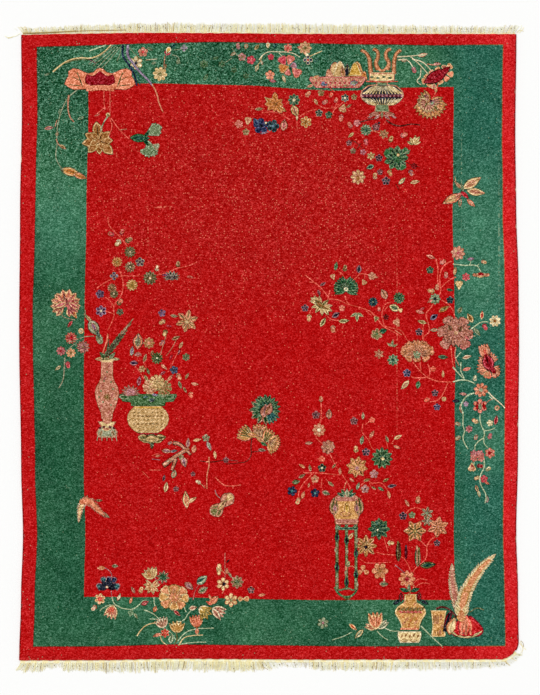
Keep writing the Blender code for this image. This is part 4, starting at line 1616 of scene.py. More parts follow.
# %% Spray right of the middle
spray("spray_right_of_middle", """
coral 6: 305 275, 314 282, 322 289, 329 298; coral 5: 329 299, 338 300, 347 304, 358 307, 370 311;
coral 6: 370 311, 377 318, 383 326, 392 331, 400 336;
coral 5: 384 326, 392 328, 400 330, 406 338, 410 344;
coral 5: 391 302, 386 304, 383 309, 382 316, 384 325; coral 4: 309 282, 317 283;
coral 5: 345 295, 346 300, 350 305; coral 5: 338 271, 343 275, 346 281;
coral 5: 352 281, 357 277, 360 274, 369 275; coral 4: 359 275, 359 271;
coral 5: 330 290, 328 299, 328 301; coral 5: 309 314, 312 309, 317 306;
coral 5: 326 312, 328 317, 333 320, 345 320; coral 4: 385 310, 388 306; coral 4: 385 301, 386 298;
coral 4: 366 311, 372 316; salmon 4: 395 330, 402 335
""", [
    *motifs("""
ruffle 339 287 62 278 sage leaf; ruffle 353 287 62 82 sage leaf; ruffle 346 284 50 0 leaf bottle
"""),
    *spread((347, 289), 14, range(-112, -20, 13), "sage leaf bottle", "leaf"),
    *spread((345, 289), 14, range(24, 116, 13), "sage leaf bottle", "leaf"),
    *spread((346, 288), 9, (-100, -78, -56, -30, 0, 30, 56, 78, 100), "sage bottle"),
    *motifs("""
button 346 289 26 0 pale mist; leaf 336 266 52 10 sage leaf olive; bud 345 268 38 10 tan olive;
broad_leaf 359 269 48 5 mauve ink teal; five 372 276 44 0 blush tan; leaf 376 277 30 100 salmon tan;
ruffle 364 282 34 150 sand tan; ruffle 333 277 34 -20 sand tan; leaf 323 284 38 60 mauve umber;
leaf 319 293 36 160 mauve umber; leaf 315 302 60 -80 cream sand; leaf 315 300 60 -62 cream sand;
leaf 317 300 60 -36 cream sand; leaf 320 300 54 -10 tan sand; leaf 316 306 56 -110 cream sand;
leaf 318 309 54 -145 cream sand olive; leaf 322 311 54 180 cream sand; leaf 326 311 56 150 cream sand;
leaf 328 309 56 118 cream sand; leaf 328 306 54 84 tan sand; leaf 325 303 54 50 sand olive;
leaf 319 304 66 -45 olive brown; leaf 325 308 44 115 olive brown; five 305 308 42 0 mauve ink navy;
bud 309 318 40 190 salmon sand; leaf 323 322 60 30 cream olive bottle;
broad_leaf 336 315 50 60 mauve ink navy; five 342 308 38 0 rose salmon;
leaf 344 321 60 86 cream olive mist; bud 333 329 42 180 salmon tan;
three_leaf 357 315 68 180 cream sage olive; ruffle 376 319 36 20 salmon olive;
bud 379 309 26 0 salmon pink; aster 373 302 56 0 teal ink bottle mist;
broad_leaf 384 294 64 -28 blush tan olive; aster 399 298 68 0 sage leaf bottle;
broad_leaf 395 308 68 112 cream sage bottle; ruffle 400 310 32 110 salmon cream;
five 386 317 34 0 wine umber; ruffle 397 323 48 -30 salmon tan olive;
ruffle 376 334 62 195 tan olive sage; broad_leaf 383 331 48 75 leaf bottle
"""),
])

# %% The aster and the shell flower
spray("flowers_in_the_middle", """
umber 5: 252 437, 251 447, 251 455, 247 461, 238 463, 226 464; umber 4: 251 452, 262 451, 267 450
""", [
    *motifs("""
aster 264 410 168 8 blush leaf bottle
"""),
    *spread((266, 409), 15, range(-130, 140, 21), "sage leaf bottle", "leaf"),
    *spread((266, 409), 12, range(-120, 150, 24), "sage bottle leaf", "leaf"),
    *spread((268, 412), 13, (118, 136, 154, 172), "sage teal bottle", "leaf"),
    *motifs("""
broad_leaf 264.5 411 80 12 blush dusk mauve; broad_leaf 269 409 74 18 dusk blush brown;
leaf 267 411 54 16 dusk brown umber
"""),
    *spread((252, 438), 16, range(-88, -16, 12), "salmon wheat", "leaf"),
    *spread((252, 437), 12, range(-80, -10, 14), "sand olive"),
    *spread((259, 440), 17, range(-20, 30, 12), "salmon wheat", "leaf"),
    *spread((259, 440), 14, range(-24, 32, 14), "sand tan"),
    *spread((264, 442), 15, range(12, 58, 12), "salmon wheat", "leaf"),
    *spread((264, 443), 12, range(10, 66, 14), "cream olive"),
    *spread((268, 442), 13, range(56, 168, 12), "salmon wheat", "leaf"),
    *spread((268, 442), 10, range(64, 160, 16), "cream tan"),
    *motifs("""
leaf 253 435 70 100 wheat peach; leaf 261 440 60 120 wheat tan; leaf 264 444 44 118 sage leaf;
leaf 272 441 34 40 mauve tan; leaf 262 450 46 98 mauve olive
"""),
])

# %% Fallen branch and insects
spray("fallen_branch", """
umber 25: 163 466, 172 459, 181 453, 189 448; umber 21: 173 443, 179 444, 185 449, 191 455;
umber 21: 176 459, 174 464, 172 471; tan 18: 163.5 465.5, 172 459, 181 453, 189 448.5;
tan 14: 173.5 443, 179 444, 185 449, 190.5 454.5; tan 14: 176 459, 174 464, 172 470;
mist 6: 167 462, 175 457; salmon 6: 209 457, 209 466, 207 476, 207 489; salmon 6: 206 462, 209 461;
coral 7: 215 477, 219 481, 224 485, 232 486, 241 485; coral 5: 149 470, 155 470, 161 470;
coral 5: 142 471, 146 475, 149 478; coral 4: 152 456, 157 454, 163 456;
tan 5: 196 482, 201 484, 205 488; mauve 4: 215 490, 217 495, 221 499;
umber 5: 200 461, 212 462, 226 460, 238 461; mauve 4: 152 459, 160 460
""", """
leaf 167 451 62 95 tan mauve; leaf 174 451 40 80 mauve teal ink; leaf 188 443 60 5 tan mauve;
five 181 457 32 0 tan sage; broad_leaf 194 449 46 15 salmon tan pink; leaf 197 440 48 80 salmon sand;
five 206 438 44 0 dusk sage; leaf 209 446 58 158 mauve mist sage; leaf 215 455 48 172 salmon cream tan;
broad_leaf 184 462 62 165 tan mauve ink; broad_leaf 174 474 50 20 mist tan olive;
leaf 164 478 38 10 mauve ink; leaf 166 487 60 10 cream tan olive; bud 198 482 32 -60 tan pale;
five 176 489 32 0 mauve umber; five 193 474 28 0 mauve umber; five 226 460 34 0 mauve umber;
leaf 158 456 30 80 salmon tan; bud 170 443 28 60 tan mauve
""")

spray("insects", """
salmon 4: 221 499, 217 496, 215 493
""", [
    *motifs("""
leaf 186 499 92 -4 cream salmon tan; leaf 192 500 62 58 salmon cream tan;
leaf 187 505 42 190 cream salmon; scale 226 501 92 40 blush tan sand;
scale 229 498 62 44 blush sand olive; scale 218 509 92 228 tan olive sand;
scale 215 511 62 235 blush olive sage; leaf 222 505 84 40 tan sand olive; dot 223 504 16 0 umber umber;
leaf 99 500.5 40 92 dusk olive; leaf 105 515 62 118 dusk sage
"""),
    *plume(((88, 500), (83, 502), (80, 509), (79, 519)), 4, "pale tan", "peach cream"),
    *plume(((82, 502), (87, 500.5), (92, 503), (97, 509), (103, 514)), 4.6, "dusk salmon", "peach salmon"),
])

# %% [markdown]
# ## The left side
# A pink lotus blooms on the band, above a vine of small flowers. On the field stand the tall
# mauve jar with its green cuttings and the bowl garden with a golden rock in a green tray.

# %% Spray on the left, above the jars
spray("spray_left_upper", """
coral 6: 108 217, 109 225, 114 231, 120 237, 128 247; coral 5: 121 231, 120 237;
coral 4: 128 240, 124 243;
coral 6: 119 269, 122 277, 123 288, 120 298, 114 305, 114 316, 111 324, 108 330;
coral 5: 97 288, 103 284, 112 279, 122 276, 133 276, 143 276;
coral 5: 157 275, 166 273, 178 268, 188 266, 197 262; coral 4: 122 285, 127 285;
coral 4: 116 292, 121 291; coral 5: 105 297, 110 301, 114 306; coral 5: 105 311, 114 314;
coral 4: 119 300, 115 305; coral 4: 158 268, 160 275; coral 4: 177 262, 178 268;
salmon 8: 108 334, 107 341, 104 349, 102 357; tan 5: 166 336, 163 346, 160 356;
tan 4: 177 338, 172 348, 166 356; mist 6: 60 312, 64 317, 75 320;
mist 6: 65 357, 64 371, 63 380, 59 388; mist 5: 67 343, 76 340, 84 337, 94 336;
mist 5: 85 310, 86 317, 92 323; mist 4: 66 352, 72 346, 77 343
""", """
bud 111 234 38 290 tan rose; bud 122 232 36 30 salmon rose; bud 118 243 44 220 sand pale;
bud 129 240 44 60 tan olive; aster 130 252 68 0 olive sage tan pale;
aster 117 262 62 0 salmon gold olive olive; aster 130 267 64 10 tan sage olive pale;
five 140 262 52 70 mist navy ink; four 114 276 46 0 mist blue ink;
aster 150 278 80 0 sage olive tan pale; aster 132 285 68 0 sand gold olive olive;
side_aster 172 276 66 0 mist navy sky pale; leaf 165 275 40 270 rose blue;
bud 157 268 34 10 salmon pale; bud 178 264 36 10 tan olive; leaf 190 277 36 100 salmon rose;
aster 112 288 54 0 tan olive ochre tan; aster 114 294 52 30 olive sage tan pale;
five 100 294 48 60 sky navy ink; bud 120 302 42 40 tan salmon olive; five 120 312 40 110 sage bottle;
six 101 311 62 0 lilac navy pale; lotus 64 306 150 -38 cream tan pink;
lotus 66 305 168 14 cream salmon mauve; lotus 68 307 124 66 cream pink rose;
leaf 60 305 80 250 cream pink mauve; leaf 73 312 88 150 cream orange gold;
leaf 74 306 74 122 cream pink mauve; leaf 70 324 46 215 pink wine; slim_leaf 89 319 84 135 cream sand;
broad_leaf 94 328 100 150 mist sage leaf; jagged_leaf 99 338 74 -22 mist sage;
leaf 94 327 56 150 pink lilac; leaf 98 334 48 160 leaf teal; aster 71 338 70 0 salmon rose red red;
button 81 331 32 0 cream mist; aster 83 347 76 0 tan mauve olive olive;
eight 61 351 52 0 pink mauve wine; eight 71 353 54 0 cream salmon olive; bud 68 365 38 170 pink rose;
leaf 58 368 40 230 cream mist; quill 117 341 262 37 sage leaf bottle;
quill 127 327 118 37 salmon tan mist; broad_leaf 138 341 92 4 salmon sage mauve;
leaf 132 351 56 8 mist lilac; pinks 138 352 46 180 tan mauve; eight 149 343 64 0 tan ochre salmon;
star_six 187 321 128 12 salmon sand tan mist; star_six 187 322 84 40 salmon sand cream mist;
five 162 313 44 60 mauve blue; leaf 174 316 46 100 tan sage olive; bud 162 322 40 240 tan sand;
leaf 169 326 34 100 wine rose; bud 165 333 40 200 sand cream olive; leaf 176 338 52 70 tan olive leaf;
leaf 181 345 44 30 sand tan; bud 162 343 38 230 salmon mauve; leaf 179 352 36 200 wine mauve;
six 186 357 44 0 sage leaf; leaf 152 353 34 200 tan olive; leaf 171 357 34 30 wine rose
""", worn=0.14)

# %% Jars on the left
WEAVE_ROWS = [(148 - 18 + 4.5 * i, 409 + 3.6 * j) for j in range(7) for i in range(9)]
inside_bowl = [(x, y) for x, y in WEAVE_ROWS if math.hypot((x - 148) / 18.5, (y - 420) / 13) < 1.0]
upper_dots = between((134, 416), (162, 416), 8)
lower_dots = between((134, 424), (162, 424), 8)
vase_dots = (
    (107, 372), (104, 381), (111, 382), (101, 391), (113, 389), (103, 402), (111, 405), (99, 397), (115, 399),
)
vase_leaves = ((102, 386), (112, 395), (101, 407), (109, 412), (105, 378), (109, 366))
spray("jars_on_the_left", """
wine 7: 138 433.5, 148 434.5, 158 433.5; wine 6: 100 421.5, 107 422.5, 114 421.5;
mist 5: 98 436, 97 441; mist 5: 107 437, 107 441; mist 5: 116 436, 117 441; mist 5: 102 437, 102 441;
mist 5: 112 437, 112 441; coral 4: 178 352, 173 362, 168 372; coral 4: 143 362, 148 370, 152 378;
coral 4: 135 366, 141 374, 147 384
""", [
    ("basket", (148, 433), 1000, 0, "sand sand gold"),
    *strewn("slim_leaf", inside_bowl, 19, 62, "olive olive"),
    *strewn("dot", upper_dots + lower_dots, 11, 0, "olive brown"),
    *motifs("""
low_stand 107 438 1000 0 tan mist cream; button 107 420 52 0 blush tan;
baluster 107 419 1000 0 tan blush cream;
leaf 107 429 60 90 cream tan; leaf 101 433 40 20 tan olive; leaf 113 433 40 -20 tan olive
"""),
    *strewn("dot", ((100, 428), (104, 427), (110, 427), (114, 428)), 15, 0, "wine ink"),
    *strewn("dot", vase_dots, 13, 0, "olive sage"),
    *strewn("slim_leaf", vase_leaves, 30, 30, "mauve rose"),
    *motifs("""
aster 107 397 46 0 tan ochre olive olive; quill 108 349 112 6 sage leaf bottle;
leaf 103 356 60 -40 sage leaf; leaf 112 356 56 40 mist sage; leaf 99 359 46 265 cream tan;
leaf 116 359 40 95 cream mist; leaf 107 359 40 90 cream sage; tray 148 406 1000 0 leaf leaf leaf;
leaf 125 397 70 90 mist leaf; leaf 170 397 76 90 mist leaf; side_aster 131 391 74 0 tan mauve wine;
side_peony 131 392 52 0 salmon mauve tan; peony 164 388 90 20 sand olive tan ochre;
peony 150 387 84 0 cream tan olive ochre; peony 157 382 84 30 cream sand olive ochre;
leaf 170 378 46 40 salmon tan; leaf 146 378 44 -30 sand olive; leaf 155 395 40 100 sky lilac;
leaf 146 397 36 80 sky teal; leaf 164 396 36 80 mist sage; broad_leaf 152 400 40 90 lilac teal;
leaf 152 445 50 180 olive bottle; broad_leaf 144 438 70 100 sand olive sage;
broad_leaf 160 438 70 80 sand olive sage; broad_leaf 152 439 90 90 olive sand olive;
leaf 145 441 50 110 sand olive; leaf 159 441 50 70 sand olive; aster 157 358 70 0 olive leaf sage pale;
leaf 145 358 50 20 tan olive; broad_leaf 134 363 48 92 mauve navy; six 142 369 40 20 tan sand olive;
leaf 164 367 46 130 salmon tan; five 174 370 48 60 teal blue ink; bud 179 377 42 150 orange tan;
leaf 187 376 40 30 tan olive; leaf 195 384 44 100 salmon tan; bud 191 395 36 170 coral salmon;
leaf 139 381 56 10 mauve wine lilac; leaf 180 385 46 160 mist olive; leaf 185 390 38 150 tan olive;
leaf 148 371 40 340 olive sage; leaf 163 373 36 60 mauve wine
"""),
], worn=0.06)

# %% [markdown]
# ## Low on the right
# A jar stands on a slender three-legged stand, under a blossoming branch. Nearer the corner are a
# two-eared vase, a beaker and a pot with two long feathers, and a spray of star flowers.

# %% Branch over the jar, and the jar on its stand
spray("branch_over_the_jar", """
coral 5: 321 401, 321 419, 317 430, 316 438;
coral 5: 316 438, 326 448, 333 460, 336 466, 342 474, 347 482; coral 6: 347 482, 350 487, 350 491;
coral 5: 304 473, 318 473, 330 474, 341 475; salmon 5: 347 481, 345 485, 344 490;
coral 4: 326 479, 330 484; coral 5: 312 474, 300 489, 298 499; coral 4: 322 479, 321 488;
coral 4: 320 420, 329 414; coral 5: 361 485, 368 481, 372 483, 381 483, 386 488, 389 493;
coral 4: 363 423, 362 431, 365 436, 369 441, 372 448, 377 451; coral 4: 365 425, 370 421, 374 420;
coral 4: 369 441, 370 436; coral 4: 386 440, 388 448; coral 4: 391 444, 396 438
""", """
five 316 415 46 0 mauve umber ink; broad_leaf 329 414 58 4 dusk tan olive;
eight 319 430 76 0 salmon tan pale; leaf 309 443 44 84 dusk tan olive;
eight 328 447 80 0 dusk tan olive; star_six 328 447 76 15 dusk tan olive;
five 322 459 34 0 salmon coral; leaf 363 416 44 0 tan sage olive; five 354 421 44 0 mauve umber;
five 372 420 34 0 salmon coral; leaf 362 440 54 10 mist sage olive; leaf 372 434 46 35 salmon blush;
leaf 387 439 42 -20 tan sage; leaf 398 437 50 65 cream peach sand; leaf 397 447 42 110 blush salmon;
bud 356 449 40 0 peach sand; five 366 452 46 0 mauve ink navy;
aster 382 458 122 0 sage leaf bottle cream; star_six 382 458 70 20 sage bottle leaf;
dot 383 459 16 0 cream cream; star_eight 357 467 124 10 peach wheat tan;
star_eight 357 467 96 30 salmon wheat tan; button 357 468 34 0 tan mauve;
leaf 302 466 42 300 salmon peach; leaf 310 468 40 -10 tan olive; five 315 479 46 0 salmon tan olive;
five 322 468 48 0 sage ink pale; leaf 302 476 46 60 dusk olive;
broad_leaf 296 482 46 80 olive sage umber; five 292 491 56 20 ink navy teal; dot 292 491 18 0 teal teal;
bud 298 501 40 200 cream salmon; leaf 303 495 46 20 salmon peach; five 315 493 52 0 ink navy teal;
dot 315 493 16 0 teal teal; broad_leaf 326 493 48 110 dusk sage bottle; leaf 331 484 44 130 tan olive;
leaf 309 485 32 20 salmon tan; leaf 340 471 40 0 salmon blush; leaf 334 466 34 40 tan olive;
leaf 352 480 36 130 blush salmon; leaf 358 486 46 20 mist sage; leaf 367 480 42 75 peach olive;
five 365 489 48 0 tan mauve ink; five 374 474 50 0 blush mauve; leaf 386 480 42 60 peach olive;
leaf 374 488 34 110 tan olive; leaf 381 489 42 120 sage leaf olive; leaf 392 486 52 80 mauve ink ink;
leaf 389 495 46 170 salmon peach; bud 321 399 34 0 salmon tan
""")

dark_joints = ((337, 537), (346.5, 540), (356, 553), (337, 567), (356, 574), (346.5, 582))
pale_joints = ((336, 549), (347, 552), (357, 541), (346, 572), (337, 580), (357, 585))
jar_sides = (
    ((332, 514), (334, 497)), ((361, 514), (359, 497)), ((335, 516), (337, 499)), ((358, 516), (356, 499)),
)
spray("jar_on_a_stand", """
leaf 12: 335 587, 339 594, 347 597, 354 594, 358 587;
sage 10: 335 589, 341 590, 347 588, 353 590, 358 589; olive 9: 342 596, 347 599, 352 596;
salmon 4: 346 568, 352 566, 355 568
""", [
    *strewn("post", ((337, 590), (346.5, 590), (356, 590)), 1080, 0, "olive sage"),
    ("rail", (346.5, 530), 880, 0, "sage bottle"),
    *strewn("leaf", dark_joints, 62, 0, "leaf ink"),
    *strewn("leaf", pale_joints, 40, 8, "tan mist"),
    *strewn("leaf", ((339, 527), (346, 526), (354, 527)), 30, 40, "mist leaf"),
    ("round_jar", (346.5, 524.5), 1000, 0, "tan wheat sage dusk"),
    *strokes(jar_sides, "tan olive", "leaf"),
    *strewn("broad_leaf", ((335, 508), (357, 508)), 50, 0, "tan mauve umber"),
    *motifs("""
leaf 341 495 52 -62 mist bottle; leaf 352 495 52 62 mist bottle; leaf 347 493 50 0 pale sage;
leaf 343 492 40 -30 sage leaf; leaf 351 492 40 30 sage leaf; leaf 347 508 70 0 wheat gold;
leaf 346 514 70 90 peach wheat; bud 348 564 34 20 cream sage; leaf 346 568 34 0 tan salmon;
leaf 351 536 48 35 cream peach
"""),
])

# %% Star flowers above the corner
spray("star_flowers", """
coral 5: 383 535, 386 545, 388 552;
coral 5: 376 552, 382 554, 394 555, 402 557, 407 563, 411 572, 412 580;
coral 4: 366 563, 380 563, 391 562; mauve 5: 395 565, 400 569, 406 574; coral 4: 360 559, 366 563;
coral 6: 437 535, 430 541, 427 546, 427 553, 425 560, 419 565, 413 572, 411 578;
coral 5: 420 540, 424 544, 427 547; coral 4: 428 545, 433 544, 437 543;
coral 5: 406 513, 411 509, 418 508, 424 511; coral 5: 413 584, 419 579, 427 580;
coral 5: 413 591, 418 585, 424 583, 430 584; salmon 6: 410 586, 410 593; salmon 6: 414 585, 413 592
""", """
star_eight 379 529 126 0 sage leaf bottle; keen_rose 379 529 104 20 sage bottle leaf;
dot 378 530 16 0 pale pale; star_eight 366 546 126 0 peach wheat peach;
star_six 366 546 60 15 sand brown umber; dot 366 547 22 0 umber ink;
star_six 415 531 128 30 salmon wheat olive; star_six 415 531 92 0 peach olive wheat;
star_six 438 527 122 8 salmon peach dusk; star_six 438 527 80 38 salmon peach mauve;
star_six 427 513 74 10 tan mist sage; star_six 427 521 64 30 tan mist mauve;
five 403 516 46 0 mauve ink navy; five 412 515 40 0 olive sage; bud 418 500 42 10 peach tan;
leaf 407 503 46 -30 salmon blush; bud 391 543 38 90 salmon cream; five 437 543 38 0 mauve ink;
stroke 398 551 112 0 umber olive; stroke 399 552 104 3 olive umber; stroke 406 552 80 0 wine ink;
stroke 417 556 116 0 sage tan; stroke 418.5 557 108 2 tan olive; leaf 428 565 90 84 olive bottle;
six 380 571 92 30 peach peach brown; eight 407 579 94 0 salmon peach wine;
broad_leaf 384 584 52 90 blush sage bottle; leaf 384 580 26 0 tan pale; scale 363 568 34 0 peach peach;
scale 360 572 34 240 peach peach; scale 366 572 34 120 peach peach
""")

# %% Vessels in the corner
dots_on_vase = (
    (405, 602), (411, 598), (415, 604), (407, 619), (413, 616), (404, 623), (416, 622), (409, 594),
)
pot_rim = (
    ((449, 630), (458, 636)), ((456, 635.5), (466, 637.5)), ((464, 637.5), (474, 636.5)),
    ((472, 637), (482, 631)),
)
tall_feather = ((461, 617), (462, 605), (466, 592), (473, 579), (481, 568), (491, 558.5))
spray("vessels_in_the_corner", """
umber 11: 436 609, 442 607, 450 610, 457 618; ash 7: 421 626, 432 637, 442 646;
ash 5: 385 628, 392 631, 399 631; ash 4: 332 640, 342 637, 352 632; ash 5: 377 631, 383 637, 388 640;
olive 5: 470 612, 477 608, 484 610
""", [
    ("foot", (409.5, 643), 1000, 0, "pale cream"),
    *strewn("leaf", ((405, 640.5), (414, 640.5)), 50, 90, "brown cream"),
    *strewn("leaf", ((402, 636), (406, 635), (410, 636), (414, 635), (418, 636)), 24, 30, "brown brown"),
    *strewn("leaf", ((401, 597), (419, 596)), 58, 0, "umber wine"),
    *motifs("leaf 397 602 56 60 bottle ink; leaf 424 602 56 -60 bottle ink"),
    ("two_eared", (410.5, 629), 1000, 0, "cream wheat wheat"),
    ("rail", (409.5, 630), 720, 0, "peach salmon"),
    *strewn("leaf", between((399, 609), (422, 609), 7), 34, 50, "brown olive"),
    *strewn("leaf", between((401, 612), (420, 612), 6), 30, 110, "salmon rose"),
    *strewn("leaf", dots_on_vase, 30, 40, "peach peach"),
    *strewn("leaf", ((403, 616), (411, 620), (417, 618), (409, 625), (415, 627)), 26, 20, "orange amber"),
    ("beaker", (438.5, 637), 1000, 0, "cream wheat"),
    *strokes([((x, 614), (x, 624)) for x in (434, 436, 438)], "brown dusk"),
    *strokes([((x, 630), (x + 1.5, 636)) for x in (434.5, 437)], "umber brown"),
    *strewn("leaf", ((441, 617), (442, 626), (440, 632)), 34, 0, "peach tan"),
    *strokes((((451, 611), (445, 632)), ((449.5, 612), (443.5, 632)), ((452, 612), (448, 624))), "wine ink"),
    ("low_pot", (467, 637), 1000, 0, "wine red"),
    *motifs("broad_leaf 452 626 104 18 peach cream"),
    *spread((466, 614), 23, (166, 180, 194), "coral salmon", "leaf"),
    *strokes(pot_rim, "cream cream"),
    *motifs("""
leaf 404 590 54 -72 leaf bottle; leaf 415 590 54 72 leaf bottle; leaf 409 588 44 0 mist sage;
six 323 623 64 10 sage mist mauve; leaf 353 627 56 130 cream orange wine;
leaf 359 634 68 225 cream mist olive
"""),
    *plume(((461, 613), (457, 603), (454, 592), (452, 580), (452, 568)), 5, "pale tan", "tan dusk"),
    *plume(tall_feather, 7, "pale cream", "wheat peach"),
    *spread((376, 629), 12, (-80, -64), "cream tan salmon", "leaf"),
    *spread((378, 629), 13, (44, 58), "pale mist olive", "leaf"),
    *spread((376, 630), 19, (-24, -10, 4, 18), "cream salmon amber", "leaf"),
])

# %% [markdown]
# ## Low on the left
# A peony, a blue flower and many buds stand on a fan of stems that rises from the bottom border.

# %% Sprays at the bottom left
spray("spray_bottom_left", """
mauve 5: 102 567, 107 569, 111 573, 112 579; mauve 4: 111 591, 112 597; mauve 4: 155 578, 160 585;
ash 6: 112 597, 114 603, 119 607, 126 609, 133 609, 139 605, 143 601, 147 600;
ash 5: 100 611, 103 608, 110 605, 119 606; cream 6: 137 636, 141 630, 147 625, 155 623, 161 622;
ash 6: 144 610, 150 612, 156 616, 161 622; ash 5: 150 619, 157 619; cream 5: 160 635, 162 641, 167 645;
ash 5: 163 628, 170 632, 176 640; ash 5: 154 597, 155 606, 158 610; olive 6: 176 632, 177 640, 174 645;
cream 6: 179 645, 184 638, 190 636, 203 635; ash 6: 178 641, 184 634, 191 630, 214 628;
ash 5: 176 622, 184 620, 188 614, 194 607; ash 5: 186 612, 184 604, 190 598;
pink 5: 193 600, 195 591, 199 584; ash 5: 178 645, 188 643, 206 642; cream 5: 197 630, 198 636
""", [
    *strewn("scale", ((99.5, 587), (103.5, 580.5), (117, 587)), 46, 0, "mauve teal bottle"),
    *strewn("scale", ((109, 580), (114, 580.5)), 44, 0, "mauve navy teal"),
    *spread((107.5, 588), 10, (-96, -66, -36, 0, 34, 64, 92), "ink ink navy", "leaf"),
    *spread((114, 605), 15, (176, 192, 208, 224), "cream dusk peach", "leaf"),
    *spread((113, 606), 9, (180, 200, 220), "peach coral brown", "leaf"),
    *spread((152, 586), 9, (-150, -115, -80, -45, 45, 80, 130, 170), "cream peach olive", "leaf"),
    *spread((153, 579), 13, (-64, -44, -24, -4, 14), "cream sand peach", "leaf"),
    *spread((164, 628), 12, (-56, -38, -20, -2, 14), "pale blush sage", "leaf"),
    *spread((177, 633), 13, (-38, -19, 0, 19, 38), "cream wheat gold", "leaf"),
    *spread((197, 628), 14, (-33, -19, -5, 9, 23), "peach salmon coral", "leaf"),
    *spread((199, 607), 13, (100, 118, 136, 154), "pale gold olive", "leaf"),
    *spread((203, 611), 10, (70, 110, 150, 190), "gold olive gold", "leaf"),
    *spread((212, 608), 15, (96, 112, 128, 144), "pale blush dusk", "leaf"),
    *motifs("""
jagged_leaf 101 568 46 270 salmon peach; broad_leaf 115 566 38 90 dusk sage olive;
dot 107 587 16 0 blush pale; six 100 599 62 10 cream peach salmon; six 100 599 30 0 coral red;
bud 94 608 38 220 pale blush; leaf 119 597 46 25 blush pale sage; leaf 133 590 44 -28 blush dusk sage;
bud 141 590 38 20 cream peach; leaf 131 600 42 20 peach salmon; broad_leaf 145 603 46 65 wine pink;
broad_leaf 155 609 38 20 salmon peach; four 131 613 34 20 ash leaf; leaf 136 616 36 150 ash olive;
leaf 149 574 50 -30 wheat peach; star_eight 163 577 76 10 dusk sage bottle;
six 163 577 40 0 leaf bottle; button 174 597 140 0 wheat wheat; ruffle 174 590 66 0 wheat peach;
ruffle 182 592 60 45 cream peach; ruffle 184 598 60 90 cream wheat; ruffle 180 604 62 140 wheat peach;
ruffle 174 605 64 180 cream wheat; ruffle 166 603 62 225 wheat peach; ruffle 164 597 62 270 cream wheat;
ruffle 166 591 64 -45 cream peach; star_eight 174 597 92 0 peach wheat salmon;
six 174 597 52 20 salmon peach wheat; leaf 177 613 50 132 blush wine; leaf 157 635 52 250 blush salmon;
six 165 633 50 0 salmon red coral; broad_leaf 171 639 50 10 ash sage;
broad_leaf 193 608 46 80 pale blush peach; broad_leaf 197 631 40 0 blush salmon;
broad_leaf 189 586 62 130 blush mauve olive; broad_leaf 202 580 74 52 mist ash teal;
leaf 201 580 52 60 teal bottle; broad_leaf 203 590 62 62 blush sage olive;
broad_leaf 214 600 66 50 peach salmon coral; leaf 209 603 42 300 salmon coral;
leaf 210 597 34 340 peach salmon
"""),
])

spray("spray_bottom_middle", """
dusk 4: 225 553, 225 566, 225 582; salmon 4: 221 569, 225 574; salmon 4: 224 590, 222 594;
salmon 4: 225 596, 242 600
""", """
bud 219 567 40 10 peach cream; bud 219 572 38 180 peach cream; leaf 227 571 38 0 blush peach;
leaf 230 575 38 150 blush sage; leaf 228 561 26 40 umber ink; six 223 584 74 0 peach cream brown;
button 224 584 26 0 umber ink; eight 237 582 74 0 dusk olive bottle; five 237 582 40 0 bottle olive;
six 231 600 78 0 peach cream olive; scale 241 599 34 270 cream peach; scale 246 599 36 80 cream peach;
five 251 590 42 0 dusk ink mauve; leaf 262 595 40 80 salmon peach
""")

# %% [markdown]
# ## Overcast sides
# Along each side the outermost warps are bundled and sewn round and round with wool, which makes a
# hard little cord. A grid primitive is wrapped to a half-round, and a sine that runs on round the
# cord and along it gives each turn of the sewing its ridge.

# %% Overcast cords
CORD_WIDTH = 7 * MM
CORD_HEIGHT = 6 * MM
PIECE_GAP = 0.3 * MM
STITCH = 5.5 * MM
RIDGE = 0.13
CORD_RINGS = 1240
CORD_ROUND = 8


def smooth_edge(points):
    """Reads a line of points at any share of its length: the place, and the way out of the cloth."""
    runs = [0.0]
    for here, there in zip(points, points[1:]):
        runs.append(runs[-1] + (there - here).length)

    def at(share, right_hand=1):
        distance = share * runs[-1]
        i = 0
        while i < len(points) - 2 and runs[i + 1] < distance:
            i += 1
        part = (distance - runs[i]) / (runs[i + 1] - runs[i])
        ahead = (points[i + 1] - points[i]).normalized()
        return points[i].lerp(points[i + 1], part), Vector((ahead.y, -ahead.x, 0)) * right_hand, ahead

    return at, runs[-1]


def cord_wool():
    """Dark red sewing wool, each turn a little different, worn pale in places."""
    recipe = Recipe("overcast_side_wool")
    weave = recipe.node("ShaderNodeUVMap", uv_map="Weave").outputs["UV"]
    turns = recipe.tufts(recipe.stretched(weave, (0.1, 1, 1)), STITCH)
    worn = recipe.ramp(recipe.noise(recipe.place(), 0.09, 2.0), 0.7, 1.6)
    dyed = recipe.mixed(recipe.ramp(turns, -1.7, 1.7), dye(138, 14, 18), dye(190, 30, 30))
    pale = recipe.mixed(worn, dyed, dye(214, 178, 150))
    colour, spread = grained(recipe, pale, 0.06)
    return finish_wool(recipe, colour, spread, 0.8 * MM)


